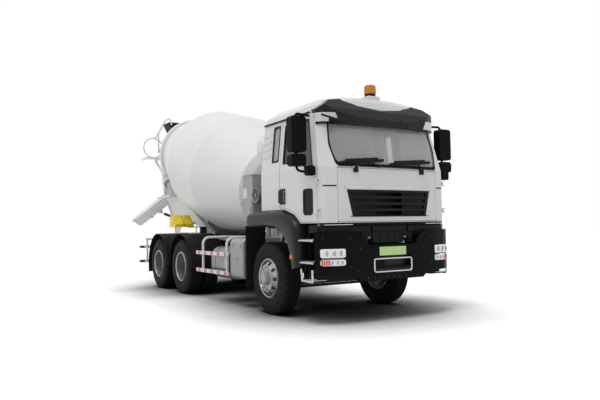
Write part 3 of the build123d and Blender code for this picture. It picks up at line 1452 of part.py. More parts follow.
with BuildPart() as cab_walls:
    cab_body(0, cab_floor_z)
    profile_side(fender_cut(cab_clear), -half_width, half_width, mode=Mode.SUBTRACT)
with BuildPart() as cab_cavity:
    cab_body(cab_wall, cab_floor_z + cab_wall)
    profile_side(fender_cut(cab_clear + cab_wall), -half_width, half_width, mode=Mode.SUBTRACT)
with BuildPart() as cab_skin:
    add(cab_walls.part)
    add(cab_cavity.part, mode=Mode.SUBTRACT)

with BuildPart() as cab_shell:
    add(cab_skin.part)
    block(
        (cab_front_x - 60, cab_front_x + 60),
        (-flap_half_width, flap_half_width), (flap_low_z, flap_top_z), mode=Mode.SUBTRACT,
    )
    profile_front(screen_outline, cab_front_x - 420, cab_front_x + 60, mode=Mode.SUBTRACT)
    for side in (-1, 1):
        reach = sorted((side * (cab_eaves_half_width - 160), side * (cab_half_width + 20)))
        sill_reach = sorted((side * (door_inner_y - door_gap), side * (cab_half_width + 20)))
        profile_side(door_outline, *sill_reach, mode=Mode.SUBTRACT)
        profile_side(door_upper, *reach, mode=Mode.SUBTRACT)
        profile_side(quarter_window, *reach, mode=Mode.SUBTRACT)
        arm_y = sorted((side * (rail_outer_y - 130), side * (rail_outer_y - 90)))
        eye_from = (cab_pivot_x, arm_y[0], cab_pivot_z)
        eye_to = (cab_pivot_x, arm_y[1], cab_pivot_z)
        block(
            (cab_pivot_x - cab_eye_radius, cab_pivot_x + cab_eye_radius),
            arm_y, (cab_pivot_z, cab_floor_z + 20),
        )
        round_bar(eye_from, eye_to, cab_eye_radius)
        round_bar(eye_from, eye_to, cab_pin_radius + running_gap, mode=Mode.SUBTRACT)
        for hinge_z in door_hinge_stations:
            leaf_y = sorted((side * (cab_half_width - 60), side * (cab_half_width + 10)))
            for leaf_z in (hinge_z, hinge_z + hinge_height - hinge_leaf):
                block((door_front_x, door_front_x + 40), leaf_y, (leaf_z, leaf_z + hinge_leaf))
            pin_foot = (door_front_x, side * cab_half_width, hinge_z)
            round_bar(
                pin_foot, (door_front_x, side * cab_half_width, hinge_z + hinge_height), hinge_pin_radius,
            )
        for leaf_start in (flap_hinge_y - flap_hinge_half, flap_hinge_y + flap_hinge_half - flap_leaf):
            leaf_y = sorted((side * leaf_start, side * (leaf_start + flap_leaf)))
            block((flap_pin[0] - 50, flap_pin[0] + 8), leaf_y, (flap_pin[1] - 6, flap_pin[1] + 22))
        pin_from = (flap_pin[0], side * (flap_hinge_y - flap_hinge_half), flap_pin[1])
        round_bar(
            pin_from, (flap_pin[0], side * (flap_hinge_y + flap_hinge_half), flap_pin[1]), flap_pin_radius,
        )
save(cab_shell, "cab_shell")

with BuildPart() as front_panel:
    add(cab_skin.part)
    low, high = flap_low_z + door_gap, flap_top_z - door_gap
    flap_y = flap_half_width - door_gap
    with BuildSketch(Plane.YZ.offset(cab_front_x - 59)) as flap_area:
        with Locations((0, (low + high) / 2)):
            RectangleRounded(2 * flap_y, high - low, 20)
    extrude(flap_area.sketch, amount=119, mode=Mode.INTERSECT)
    profile_front(grille_outline, cab_front_x - 60, cab_front_x + 60, mode=Mode.SUBTRACT)
    for side in (-1, 1):
        knuckle_reach = flap_hinge_half - flap_leaf - seat_gap
        knuckle_y = sorted((side * (flap_hinge_y - knuckle_reach), side * (flap_hinge_y + knuckle_reach)))
        block((flap_pin[0] - 40, flap_pin[0] + 4), knuckle_y, (flap_pin[1] - 36, flap_pin[1] - 6))
        knuckle_from = (flap_pin[0], knuckle_y[0], flap_pin[1])
        knuckle_to = (flap_pin[0], knuckle_y[1], flap_pin[1])
        round_bar(knuckle_from, knuckle_to, flap_knuckle_radius)
        round_bar(knuckle_from, knuckle_to, flap_pin_radius + running_gap, mode=Mode.SUBTRACT)
save(front_panel, "front_panel")

grille_slats = 4
with BuildPart() as grille:
    add(cab_skin.part)
    with BuildSketch(Plane.YZ.offset(cab_front_x - 59)) as grille_area:
        with BuildLine():
            Polyline(*inset_outline(grille_outline, seat_gap), close=True)
        make_face()
    extrude(grille_area.sketch, amount=119, mode=Mode.INTERSECT)
    for slat in range(grille_slats):
        slot_low = 1452 + slat * 86
        lean = 657 + (743 - 657) * (slot_low - 1427) / (1796 - 1427) - 50
        block(
            (cab_front_x - 6, cab_front_x + 60), (-lean, lean), (slot_low, slot_low + 52), mode=Mode.SUBTRACT,
        )
save(grille, "grille")

for side, side_name in ((1, "left"), (-1, "right")):
    reach = sorted((side * (cab_eaves_half_width - 158), side * (cab_half_width + 20)))
    with BuildPart() as door_panel:
        add(cab_skin.part)
        with BuildSketch(Plane.XZ.offset(-reach[0])) as door_area:
            with BuildLine():
                Polyline(*inset_outline(door_outline, door_gap), close=True)
            make_face()
        extrude(door_area.sketch, amount=-(reach[1] - reach[0]), mode=Mode.INTERSECT)
        arch_reach = sorted((side * (cab_eaves_half_width - 160), side * door_inner_y))
        block((door_rear_x - 1, door_front_x + 1), arch_reach, (cab_floor_z, cab_waist_z), mode=Mode.SUBTRACT)
        block(
            (door_rear_x - 1, door_rear_x + door_rear_gap),
            reach, (cab_floor_z, cab_eaves_z), mode=Mode.SUBTRACT,
        )
        profile_side(door_window, *reach, mode=Mode.SUBTRACT)
        if side < 0:
            profile_side(kerb_window, *reach, mode=Mode.SUBTRACT)
        handle = sorted((side * (cab_half_width - 4), side * (cab_half_width + 26)))
        block((front_axle_x + 372, front_axle_x + 500), handle, (1660, 1680))
        block((front_axle_x + 372, front_axle_x + 500), handle, (1810, 1830))
        block(
            (front_axle_x + 372, front_axle_x + 500),
            sorted((side * (cab_half_width + 12), side * (cab_half_width + 26))), (1660, 1830),
        )
        for hinge_z in door_hinge_stations:
            knuckle_low = hinge_z + hinge_leaf + seat_gap
            knuckle_high = hinge_z + hinge_height - hinge_leaf - seat_gap
            knuckle_from = (door_front_x, side * cab_half_width, knuckle_low)
            knuckle_to = (door_front_x, side * cab_half_width, knuckle_high)
            leaf_y = sorted((side * (cab_half_width - 25), side * (cab_half_width + 10)))
            block((door_front_x - 40, door_front_x), leaf_y, (knuckle_low, knuckle_high))
            round_bar(knuckle_from, knuckle_to, hinge_knuckle_radius)
            round_bar(knuckle_from, knuckle_to, hinge_pin_radius + running_gap, mode=Mode.SUBTRACT)
    save(door_panel, f"door_{side_name}_panel")
    with BuildPart() as door_glass:
        cab_body(glass_inset, cab_floor_z + 60)
        cab_body(glass_inset + glass_thickness, cab_floor_z + 60, mode=Mode.SUBTRACT)
        with BuildSketch(Plane.XZ.offset(-reach[0])) as glass_area:
            with BuildLine():
                Polyline(*inset_outline(door_window, seat_gap), close=True)
            make_face()
            if side < 0:
                with BuildLine():
                    Polyline(*inset_outline(kerb_window, seat_gap), close=True)
                make_face()
        extrude(glass_area.sketch, amount=-(reach[1] - reach[0]), mode=Mode.INTERSECT)
    save(door_glass, f"door_{side_name}_glass")

# Windscreen and the quarter windows behind the doors
with BuildPart() as windscreen:
    cab_body(glass_inset, cab_floor_z + 60)
    cab_body(glass_inset + glass_thickness, cab_floor_z + 60, mode=Mode.SUBTRACT)
    with BuildSketch(Plane.YZ.offset(cab_front_x - 420)) as screen_area:
        with BuildLine():
            Polyline(*inset_outline(screen_outline, seat_gap), close=True)
        make_face()
    extrude(screen_area.sketch, amount=480, mode=Mode.INTERSECT)
with BuildPart() as quarter_glass:
    cab_body(glass_inset, cab_floor_z + 60)
    cab_body(glass_inset + glass_thickness, cab_floor_z + 60, mode=Mode.SUBTRACT)
    with BuildSketch(Plane.XZ.offset(half_width)) as quarter_area:
        with BuildLine():
            Polyline(*inset_outline(quarter_window, seat_gap), close=True)
        make_face()
    extrude(quarter_area.sketch, amount=-overall_width, mode=Mode.INTERSECT)
with BuildPart() as cab_glass:
    add(windscreen.part)
    add(quarter_glass.part)
save(cab_glass, "cab_glass")

# Roof: a hollow cap with drawn-in shoulders
roof_rows = (
    # z, rear x, front x, half-width
    (cab_eaves_z + seat_gap, cab_rear_x, cab_eaves_front_x, cab_eaves_half_width),
    (cab_eaves_z + 90, cab_rear_x + 40, cab_eaves_front_x - 12, cab_eaves_half_width - 35),
    (cab_eaves_z + 180, cab_rear_x + 190, cab_eaves_front_x - 40, cab_eaves_half_width - 150),
    (cab_roof_z, cab_rear_x + 480, cab_eaves_front_x - 80, cab_eaves_half_width - 380),
)
with BuildPart() as cab_roof:
    for lower, upper in zip(roof_rows[:-1], roof_rows[1:]):
        loft([cab_plan(*lower), cab_plan(*upper)], ruled=True)
    for lower, upper in zip(roof_rows[:-1], roof_rows[1:]):
        drop = 0 if lower is roof_rows[0] else cab_wall
        bottom = (lower[0] - 1 if drop == 0 else lower[0] - drop, *lower[1:])
        top = (upper[0] - cab_wall, *upper[1:])
        loft([cab_plan(*bottom, cab_wall), cab_plan(*top, cab_wall)], ruled=True, mode=Mode.SUBTRACT)
save(cab_roof, "cab_roof")

# Sun visor and roof fairing: a curved shell in front of the roof, cut to the cab's outline
visor_front = [
    (-1050, 2690), (-1050, 2900), (-860, 3040), (-650, 3075), (-500, 3030), (-395, 2985), (0, 2940),
    (395, 2985), (500, 3030), (650, 3075), (860, 3040), (1050, 2900), (1050, 2690),
]
visor_side = [
    (front_axle_x + 1150, 2690), (front_axle_x + 1410, 2690),
    (front_axle_x + 1400, 2790), (front_axle_x + 1335, 2920),
    (front_axle_x + 1210, 3080), (front_axle_x + 1100, 3080), (front_axle_x + 1100, 2800),
]
with BuildPart() as visor_cutter:
    loft([
        cab_plan(2600, cab_rear_x - 50, front_axle_x + 1340, 1092, 0),
        cab_plan(cab_eaves_z, cab_rear_x - 50, cab_eaves_front_x + 6, 1064, 0),
    ], ruled=True)
    for lower, upper in zip(roof_rows[:-1], roof_rows[1:]):
        loft([cab_plan(*lower, -seat_gap * 2), cab_plan(*upper, -seat_gap * 2)], ruled=True)
with BuildPart() as roof_visor:
    profile_side(visor_side, -1070, 1070)
    profile_front(visor_front, front_axle_x + 1000, front_axle_x + 1500, mode=Mode.INTERSECT)
    with BuildSketch(Plane.XY.offset(2600)) as visor_plan:
        with BuildLine():
            Polyline(
                (front_axle_x + 1000, 1075), (front_axle_x + 1000, -1075), (front_axle_x + 1180, -1075),
                (front_axle_x + 1290, -1000), (front_axle_x + 1350, -860),
            )
            ThreePointArc((front_axle_x + 1350, -860), (front_axle_x + 1410, 0), (front_axle_x + 1350, 860))
            Polyline(
                (front_axle_x + 1350, 860), (front_axle_x + 1290, 1000), (front_axle_x + 1180, 1075),
                (front_axle_x + 1000, 1075),
            )
        make_face()
    extrude(visor_plan.sketch, amount=600, mode=Mode.INTERSECT)
    add(visor_cutter.part, mode=Mode.SUBTRACT)
save(roof_visor, "roof_visor")

# Beacon: base, collar and amber dome on the roof
beacon_x = front_axle_x + 1080
with BuildPart() as beacon:
    block((beacon_x - 70, beacon_x + 70), (-75, 75), (cab_roof_z + seat_gap, 3185))
    dome = [(3184, 0), (3184, 55), (3215, 55), (3222, 64), (3340, 60), (3369, 40), (3369, 0)]
    turned(dome, (beacon_x, 0, 0), (0, 0, 1))
save(beacon, "beacon")

# Cab interior seen through the glass: two seats, dashboard and steering wheel
with BuildPart() as cab_interior:
    floor_z = fender_crown + cab_clear + cab_wall + seat_gap
    for seat_y in (-620, 620):
        block(
            (front_axle_x + 160, front_axle_x + 640), (seat_y - 240, seat_y + 240), (floor_z, floor_z + 330),
        )
        back = [
            (front_axle_x + 60, floor_z + 320),
            (front_axle_x + 200, floor_z + 320), (front_axle_x + 130, floor_z + 920),
            (front_axle_x + 10, floor_z + 920),
        ]
        profile_side(back, seat_y - 230, seat_y + 230)
        block(
            (front_axle_x + 150, front_axle_x + 210),
            (seat_y - 200, seat_y + 200), (floor_z + 300, floor_z + 340),
        )
        block(
            (front_axle_x + 20, front_axle_x + 110),
            (seat_y - 130, seat_y + 130), (floor_z + 915, floor_z + 1080),
        )
    dash = [
        (front_axle_x + 1040, 1700), (front_axle_x + 1330, 1600),
        (front_axle_x + 1330, 2080), (front_axle_x + 1150, 2120),
        (front_axle_x + 1030, 2010),
    ]
    profile_side(dash, -1020, 1020)
    block((front_axle_x + 1100, front_axle_x + 1330), (-900, 900), (cab_floor_z + cab_wall + seat_gap, 1720))
    wheel_centre = Vector(front_axle_x + 850, 620, 2130)
    wheel_way = Vector(-math.sin(math.radians(35)), 0, math.cos(math.radians(35)))
    rim_ring = [(-14, 205), (-14, 233), (14, 233), (14, 205)]
    turned(rim_ring, tuple(wheel_centre), tuple(wheel_way))
    turned([(-40, 0), (-40, 60), (-8, 60), (-8, 0)], tuple(wheel_centre), tuple(wheel_way))
    for spoke_turn in (20, 160, 270):
        angle = math.radians(spoke_turn)
        spoke_side = Vector(0, 1, 0) * (218 * math.cos(angle))
        spoke_rise = wheel_way.cross(Vector(0, 1, 0)) * (218 * math.sin(angle))
        spoke_end = wheel_centre + spoke_side + spoke_rise
        round_bar(tuple(wheel_centre - wheel_way * 20), tuple(spoke_end), 12)
    round_bar(tuple(wheel_centre - wheel_way * 20), (front_axle_x + 1100, 620, 1850), 28)
save(cab_interior, "cab_interior")

# Door mirrors: two housings on tube arms from each door
for side, side_name in ((1, "left"), (-1, "right")):
    with BuildPart() as door_mirror:
        for z_low, z_high, y_in, y_out in ((2300, 2780, 1215, 1450), (2110, 2272, 1225, 1450)):
            with BuildSketch(Plane.YZ.offset(front_axle_x + 1110)) as housing:
                with Locations((side * (y_in + y_out) / 2, (z_low + z_high) / 2)):
                    RectangleRounded(y_out - y_in, z_high - z_low, 45)
            extrude(housing.sketch, amount=130)
        upper_y = side * 1078
        arm = [
            (front_axle_x + 1080, upper_y, 2824),
            (front_axle_x + 1140, side * 1330, 2830), (front_axle_x + 1160, side * 1330, 2060),
            (front_axle_x + 1240, side * (cab_half_width + 12), 2020),
        ]
        bent_bar(arm, 60, 17)
        arm_foot = sorted((side * (cab_half_width + seat_gap), side * (cab_half_width + 22)))
        block((front_axle_x + 1205, front_axle_x + 1275), arm_foot, (1985, 2055))
        with BuildSketch(Plane.YZ.offset(front_axle_x + 1260)) as near_housing:
            with Locations((side * 1215, 2045)):
                RectangleRounded(120, 130, 30)
        extrude(near_housing.sketch, amount=90)
        round_bar((front_axle_x + 1262, side * 1150, 2030), (front_axle_x + 1275, side * 1200, 2040), 20)
    save(door_mirror, f"door_{side_name}_mirror")
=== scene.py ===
# %% [markdown]
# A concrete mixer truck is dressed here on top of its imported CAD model.
# The model comes in as a fixed frame, so every new piece is placed by the CAD's own corners.
# Lengths are in metres, +X is forward, +Y is the truck's left and +Z is up.

# %% Load the frame
import math
import bmesh
import bpy
from mathutils import Matrix, Vector


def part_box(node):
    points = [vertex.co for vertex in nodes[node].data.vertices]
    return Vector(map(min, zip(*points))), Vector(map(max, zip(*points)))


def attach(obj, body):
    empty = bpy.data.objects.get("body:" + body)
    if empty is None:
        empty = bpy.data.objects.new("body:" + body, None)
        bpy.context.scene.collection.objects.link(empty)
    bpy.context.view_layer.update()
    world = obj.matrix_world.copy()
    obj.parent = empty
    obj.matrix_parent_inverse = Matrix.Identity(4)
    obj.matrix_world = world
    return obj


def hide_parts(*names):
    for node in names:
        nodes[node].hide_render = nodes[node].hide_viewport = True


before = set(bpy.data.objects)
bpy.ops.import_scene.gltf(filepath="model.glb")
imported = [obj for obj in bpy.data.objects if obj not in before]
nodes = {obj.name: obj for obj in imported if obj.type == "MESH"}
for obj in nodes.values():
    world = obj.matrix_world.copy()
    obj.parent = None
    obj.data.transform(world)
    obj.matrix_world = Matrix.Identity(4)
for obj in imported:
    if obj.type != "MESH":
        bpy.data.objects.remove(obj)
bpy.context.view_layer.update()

# %% [markdown]
# Most pieces need the same few facts: where the front axle is, how far the bumper reaches and where the
# cab's hinge lies. They are read from the CAD nodes once, and most lengths count from the front axle.

# %% Driving dimensions
tyre_low, tyre_high = (Vector(corner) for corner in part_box("tyre_front_right"))
axle_x = ((tyre_low + tyre_high) / 2).x
bumper_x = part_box("front_bumper")[1][0]
hinge_x, hinge_z = axle_x + 1.370, 1.120
sides = (("left", 1), ("right", -1))
wheel_names = ("front_left", "front_right", "mid_left", "mid_right", "rear_left", "rear_right")
print("front axle at", round(axle_x, 4), "bumper's nose at", round(bumper_x, 4))

# %% [markdown]
# The camera repeats the photograph's view: a long way off the right front corner, at chest height.
# Its three angles and its focal length are plain values, so the picture can be reframed by hand.

# %% Camera
camera_place = Vector((axle_x + 7.8775, -5.382, 1.3215))
camera_heading = math.radians(148.62)
camera_pitch = math.radians(2.487)
camera_roll = math.radians(-1.008)
focal_length_mm = 35.48

forward = Vector((
    math.cos(camera_pitch) * math.cos(camera_heading),
    math.cos(camera_pitch) * math.sin(camera_heading),
    math.sin(camera_pitch),
))
level_right = forward.cross(Vector((0, 0, 1))).normalized()
level_up = level_right.cross(forward)
camera_right = level_right * math.cos(camera_roll) + level_up * math.sin(camera_roll)
camera_up = level_up * math.cos(camera_roll) - level_right * math.sin(camera_roll)
camera_data = bpy.data.cameras.new("photo_camera")
camera_data.lens = focal_length_mm
camera_data.sensor_width = 36
camera_data.clip_end = 200
camera = bpy.data.objects.new("photo_camera", camera_data)
bpy.context.scene.collection.objects.link(camera)
turn = Matrix((camera_right, camera_up, -forward)).transposed().to_4x4()
camera.matrix_world = Matrix.Translation(camera_place) @ turn
bpy.context.scene.camera = camera
print("camera at", [round(v, 2) for v in camera_place])

# %% [markdown]
# A material is a tree of shader nodes, and each node could be made and linked line by line. Here a few
# small functions do it: each input of a node is given either a value or the socket that feeds it, so a
# whole material reads as a short list.


# %% Node helpers
def feed(tree, node, given):
    """Sets a node's inputs, each with a value or with the socket that feeds it."""
    for socket, value in given.items():
        if isinstance(value, bpy.types.NodeSocket):
            tree.links.new(value, node.inputs[socket])
        else:
            node.inputs[socket].default_value = value


def add_node(tree, kind, given=None, **settings):
    """A shader node with its settings and inputs. The settings come first, since they choose its sockets."""
    node = tree.nodes.new("ShaderNode" + kind)
    for setting, value in settings.items():
        setattr(node, setting, value)
    feed(tree, node, given or {})
    return node


def mix(tree, share, first, second, **settings):
    """The colour between two colours, each a value or a socket."""
    given = {"Factor": share, "A": first, "B": second}
    return add_node(tree, "Mix", given, data_type="RGBA", **settings).outputs["Result"]


def seen_rays(tree):
    """1 for a ray from the camera, in a reflection or through glass, and 0 for plain lighting."""
    path = add_node(tree, "LightPath").outputs
    given = {0: path["Is Camera Ray"], 1: path["Is Glossy Ray"]}
    either = add_node(tree, "Math", given, operation="MAXIMUM").outputs[0]
    return add_node(tree, "Math", {0: either, 1: path["Is Transmission Ray"]}, operation="MAXIMUM").outputs[0]


def new_material(name):
    """A material, its node tree and its Principled shader."""
    mat = bpy.data.materials.new(name)
    mat.use_nodes = True
    return mat, mat.node_tree, mat.node_tree.nodes["Principled BSDF"]


print("node helpers ready")

# %% [markdown]
# The photograph is a cut-out on white with soft light. A white world does most of the lighting and a
# wide sun gives the soft shadow, because a sun lights the far floor as much as the near one. The world
# is white to the eye, to reflections and through glass, and dimmer as a light.

# %% World and lamps
scene = bpy.context.scene
scene.view_settings.view_transform = "Standard"
sky_strength = 0.56
sun_strength, sun_width = 1.33, math.radians(24)
sun_from = Vector((0.12, -0.30, 1.0))
white = (1, 1, 1, 1)
world = bpy.data.worlds.new("studio")
scene.world = world
world.use_nodes = True
tree = world.node_tree
tree.nodes.clear()
light_air = add_node(tree, "Background", {"Color": white, "Strength": sky_strength})
seen_air = add_node(tree, "Background", {"Color": white, "Strength": 1.0})
choose = add_node(tree, "MixShader", {0: seen_rays(tree), 1: light_air.outputs[0], 2: seen_air.outputs[0]})
add_node(tree, "OutputWorld", {0: choose.outputs[0]})

sun_data = bpy.data.lights.new("soft_sun", "SUN")
sun_data.energy, sun_data.angle = sun_strength, sun_width
sun = bpy.data.objects.new("soft_sun", sun_data)
scene.collection.objects.link(sun)
sun.matrix_world = (-sun_from).to_track_quat("-Z", "Y").to_matrix().to_4x4()
print("lamps", len(bpy.data.lights))

# %% [markdown]
# The floor is bright enough to the eye to be lost in the white, and it takes the shadow. Ambient
# occlusion darkens it near the truck, where the photograph has its deepest contact shadow.


# %% Floor
def floor_material():
    """White to the eye where it is lit, and darker within the occlusion's reach."""
    reach, depth = 1.35, 2.4
    mat, tree, paint = new_material("studio_floor")
    tone = mix(tree, seen_rays(tree), (0.80, 0.80, 0.80, 1), (1.16, 1.16, 1.16, 1), clamp_result=False)
    near = add_node(tree, "AmbientOcclusion", {"Distance": reach}, samples=8)
    open_air = add_node(tree, "Math", {0: near.outputs["AO"], 1: depth}, operation="POWER")
    shade = add_node(tree, "VectorMath", {0: tone, "Scale": open_air.outputs[0]}, operation="SCALE")
    feed(tree, paint, {"Roughness": 1.0, "Specular IOR Level": 0.0, "Base Color": shade.outputs[0]})
    return mat


floor_mesh = bmesh.new()
bmesh.ops.create_grid(floor_mesh, x_segments=1, y_segments=1, size=60)
floor_data = bpy.data.meshes.new("studio_floor")
floor_mesh.to_mesh(floor_data)
floor_mesh.free()
floor = bpy.data.objects.new("studio_floor", floor_data)
floor_data.materials.append(floor_material())
scene.collection.objects.link(floor)
print("floor ready")

# %% [markdown]
# Three effects repeat over many finishes: a fine grain, soft stains that break up a colour, and road
# dust that gathers low on the truck. Each is a node group that puts out a value, and each material
# gives it its own numbers.


# %% Shared effect groups
def start_group(name, inputs, output):
    """A shader group with float sockets: the group, its inputs and the object coordinates."""
    group = bpy.data.node_groups.new(name, "ShaderNodeTree")
    for socket_name, value in inputs.items():
        socket = group.interface.new_socket(socket_name, in_out="INPUT", socket_type="NodeSocketFloat")
        socket.default_value = value
    group.interface.new_socket(output, in_out="OUTPUT", socket_type="NodeSocketFloat")
    given = group.nodes.new("NodeGroupInput").outputs
    return group, given, add_node(group, "TexCoord").outputs["Object"]


def end_group(group, socket):
    """Puts a socket out as the group's result."""
    group.links.new(socket, group.nodes.new("NodeGroupOutput").inputs[0])
    return group


def stain_group():
    """Noise on object coordinates, spread to a 0 to 1 mask."""
    group, given, place = start_group("soft_stains", {"Scale": 2.0, "Low": 0.4, "High": 0.7}, "Mask")
    pattern = {"Vector": place, "Scale": given["Scale"], "Detail": 6, "Roughness": 0.62}
    noise = add_node(group, "TexNoise", pattern)
    limits = {"From Min": given["Low"], "From Max": given["High"]}
    spread = add_node(group, "MapRange", {"Value": noise.outputs["Fac"], **limits})
    return end_group(group, spread.outputs["Result"])


def dust_group():
    """Dust that fades out with height: full below Low, none above High, broken up by noise."""
    group, given, place = start_group("road_dust", {"Low": 0.2, "High": 1.4, "Scale": 5.0}, "Mask")
    split = add_node(group, "SeparateXYZ", {0: place})
    limits = {"From Min": given["Low"], "From Max": given["High"], "To Min": 1, "To Max": 0}
    fade = add_node(group, "MapRange", {"Value": split.outputs["Z"], **limits})
    noise = add_node(group, "TexNoise", {"Vector": place, "Scale": given["Scale"], "Detail": 5})
    factors = {0: fade.outputs["Result"], 1: noise.outputs["Fac"]}
    return end_group(group, add_node(group, "Math", factors, operation="MULTIPLY").outputs[0])


def grain_group():
    """Fine moulded grain as a height."""
    group, given, place = start_group("fine_grain", {"Scale": 300.0}, "Height")
    cells = add_node(group, "TexVoronoi", {"Vector": place, "Scale": given["Scale"]})
    return end_group(group, cells.outputs["Distance"])


stain_nodes, dust_nodes, grain_nodes = stain_group(), dust_group(), grain_group()
print("groups", [g.name for g in bpy.data.node_groups])

# %% [markdown]
# A finish is a Principled shader whose colour goes from clean to stained and then to dust, whose
# roughness follows the stains, and whose normal takes a slight bump. One function wires that up, and
# each finish below calls it with the numbers of its own material.

# %% Finish builder
stain_limits = {"Low": 0.45, "High": 0.8}
rough_spread = 0.12


def finish(name, colour, stain, rough, scale=2.0, dust=None, top=1.3, bump=0.0, bump_scale=60.0,
           grainy=False, metallic=0.0, coat=0.0, gloss=0.5):
    """A weathered material. colour, stain and dust are (r, g, b), scale is the stains', top is the dust's
    height and gloss is the specular level."""
    mat, tree, paint = new_material(name)
    mask = add_node(tree, "Group", {"Scale": scale, **stain_limits}, node_tree=stain_nodes).outputs["Mask"]
    worn = mix(tree, mask, (*colour, 1), (*stain, 1))
    if dust:
        dusty = add_node(tree, "Group", {"High": top}, node_tree=dust_nodes).outputs["Mask"]
        worn = mix(tree, dusty, worn, (*dust, 1))
    limits = {"To Min": rough, "To Max": min(1.0, rough + rough_spread)}
    shine = add_node(tree, "MapRange", {"Value": mask, **limits})
    feed(tree, paint, {
        "Base Color": worn, "Roughness": shine.outputs["Result"], "Metallic": metallic,
        "Coat Weight": coat, "Coat Roughness": 0.06, "Specular IOR Level": gloss,
    })
    if bump:
        if grainy:
            height = add_node(tree, "Group", {"Scale": bump_scale}, node_tree=grain_nodes).outputs["Height"]
        else:
            place = add_node(tree, "TexCoord").outputs["Object"]
            given = {"Vector": place, "Scale": bump_scale, "Detail": 3}
            height = add_node(tree, "TexNoise", given).outputs["Fac"]
        relief = add_node(tree, "Bump", {"Strength": bump, "Distance": 0.001, "Height": height})
        feed(tree, paint, {"Normal": relief.outputs["Normal"]})
    return mat


print("finish builder ready")

# %% [markdown]
# The finishes of the truck. Cab paint is a glossy cool white with a clear coat, the mixer's paint is a
# softer white, and the low black parts carry grey dust.

# %% Finishes
cab_paint = finish("cab_paint", (0.70, 0.705, 0.715), (0.66, 0.665, 0.675), 0.30, 1.2,
                   dust=(0.44, 0.44, 0.43), top=1.7, bump=0.05, bump_scale=90, coat=0.35)
mixer_paint = finish("mixer_paint", (0.80, 0.805, 0.805), (0.75, 0.755, 0.75), 0.42, 1.5,
                     dust=(0.52, 0.51, 0.49), top=1.6, bump=0.08, bump_scale=40, coat=0.1)
frame_paint = finish("frame_paint", (0.012, 0.012, 0.014), (0.024, 0.022, 0.020), 0.5,
                     dust=(0.05, 0.048, 0.044), bump=0.2, gloss=0.3)
bumper_black = finish("bumper_black", (0.0035, 0.0038, 0.0042), (0.006, 0.006, 0.006), 0.40,
                      dust=(0.012, 0.012, 0.011), top=0.9, bump=0.12, bump_scale=420, grainy=True,
                      gloss=0.055)
dark_plastic = finish("dark_plastic", (0.008, 0.008, 0.009), (0.014, 0.014, 0.014), 0.46,
                      dust=(0.020, 0.019, 0.018), top=1.0, bump=0.25, bump_scale=420, grainy=True, gloss=0.13)
gloss_black = finish("gloss_black", (0.006, 0.006, 0.007), (0.012, 0.012, 0.012), 0.2, bump=0.03, gloss=0.10)
visor_black = finish("visor_black", (0.010, 0.010, 0.011), (0.018, 0.018, 0.018), 0.16, 3,
                     bump=0.06, bump_scale=30, coat=0.06, gloss=0.14)
fender_plastic = finish("fender_plastic", (0.010, 0.010, 0.011), (0.018, 0.018, 0.017), 0.30,
                        dust=(0.024, 0.023, 0.021), top=1.0, bump=0.15, bump_scale=420, grainy=True,
                        gloss=0.20)
tyre_rubber = finish("tyre_rubber", (0.009, 0.009, 0.0095), (0.018, 0.017, 0.016), 0.7, 6,
                     dust=(0.024, 0.023, 0.021), top=0.5, bump=0.25, bump_scale=160, gloss=0.12)
wheel_silver = finish("wheel_silver", (0.42, 0.43, 0.44), (0.26, 0.26, 0.25), 0.34, 7,
                      dust=(0.15, 0.145, 0.13), top=1.0, bump=0.08, metallic=0.7)
rear_wheel_paint = finish("rear_wheel_paint", (0.46, 0.465, 0.47), (0.26, 0.255, 0.25), 0.36, 7,
                          dust=(0.12, 0.115, 0.105), top=1.0, bump=0.1, metallic=0.6)
tank_metal = finish("tank_metal", (0.30, 0.305, 0.31), (0.20, 0.20, 0.20), 0.32, 4,
                    dust=(0.20, 0.195, 0.18), top=1.0, bump=0.05, metallic=0.9)
box_grey = finish("box_grey", (0.36, 0.365, 0.37), (0.30, 0.30, 0.30), 0.45,
                  dust=(0.24, 0.235, 0.22), bump=0.1)
chock_yellow = finish("chock_yellow", (0.88, 0.64, 0.012), (0.62, 0.40, 0.02), 0.45, 8,
                      bump=0.2, bump_scale=200, grainy=True)
cast_metal = finish("cast_metal", (0.020, 0.020, 0.022), (0.045, 0.038, 0.032), 0.6, 5,
                    dust=(0.07, 0.066, 0.06), bump=0.5, bump_scale=120, metallic=0.3, gloss=0.3)
bright_steel = finish("bright_steel", (0.56, 0.57, 0.58), (0.42, 0.41, 0.40), 0.24, 9,
                      bump=0.04, metallic=1.0)
cab_fabric = finish("cab_fabric", (0.10, 0.10, 0.105), (0.07, 0.07, 0.07), 0.85,
                    bump=0.4, bump_scale=700, grainy=True)
lamp_chrome = finish("lamp_chrome", (0.86, 0.87, 0.88), (0.70, 0.71, 0.72), 0.15, 20,
                     bump=0.03, metallic=0.2, coat=0.8)
lamp_bowl = finish("lamp_bowl", (0.44, 0.445, 0.45), (0.20, 0.205, 0.21), 0.12, 40,
                   bump=0.03, metallic=0.3, coat=0.8)
plate_green = finish("plate_green", (0.50, 0.72, 0.29), (0.55, 0.74, 0.36), 0.35, 3, bump=0.02)
plate_white = finish("plate_white", (0.70, 0.70, 0.69), (0.62, 0.62, 0.60), 0.4, 8, bump=0.03)
plate_orange = finish("plate_orange", (0.78, 0.42, 0.06), (0.70, 0.36, 0.05), 0.4, 8, bump=0.03)
reflector_red = finish("reflector_red", (0.52, 0.012, 0.035), (0.42, 0.02, 0.04), 0.3, 12,
                       bump=0.15, bump_scale=500, grainy=True, coat=0.5)
print("finishes", len(bpy.data.materials))

# %% [markdown]
# Glass and lamp lenses pass light. A glass shader could do that, but the Principled shader with
# transmission also takes a share of plain colour and a glow, which lamps need. The tint is on the base
# colour, and a trace of dirt breaks up its roughness.


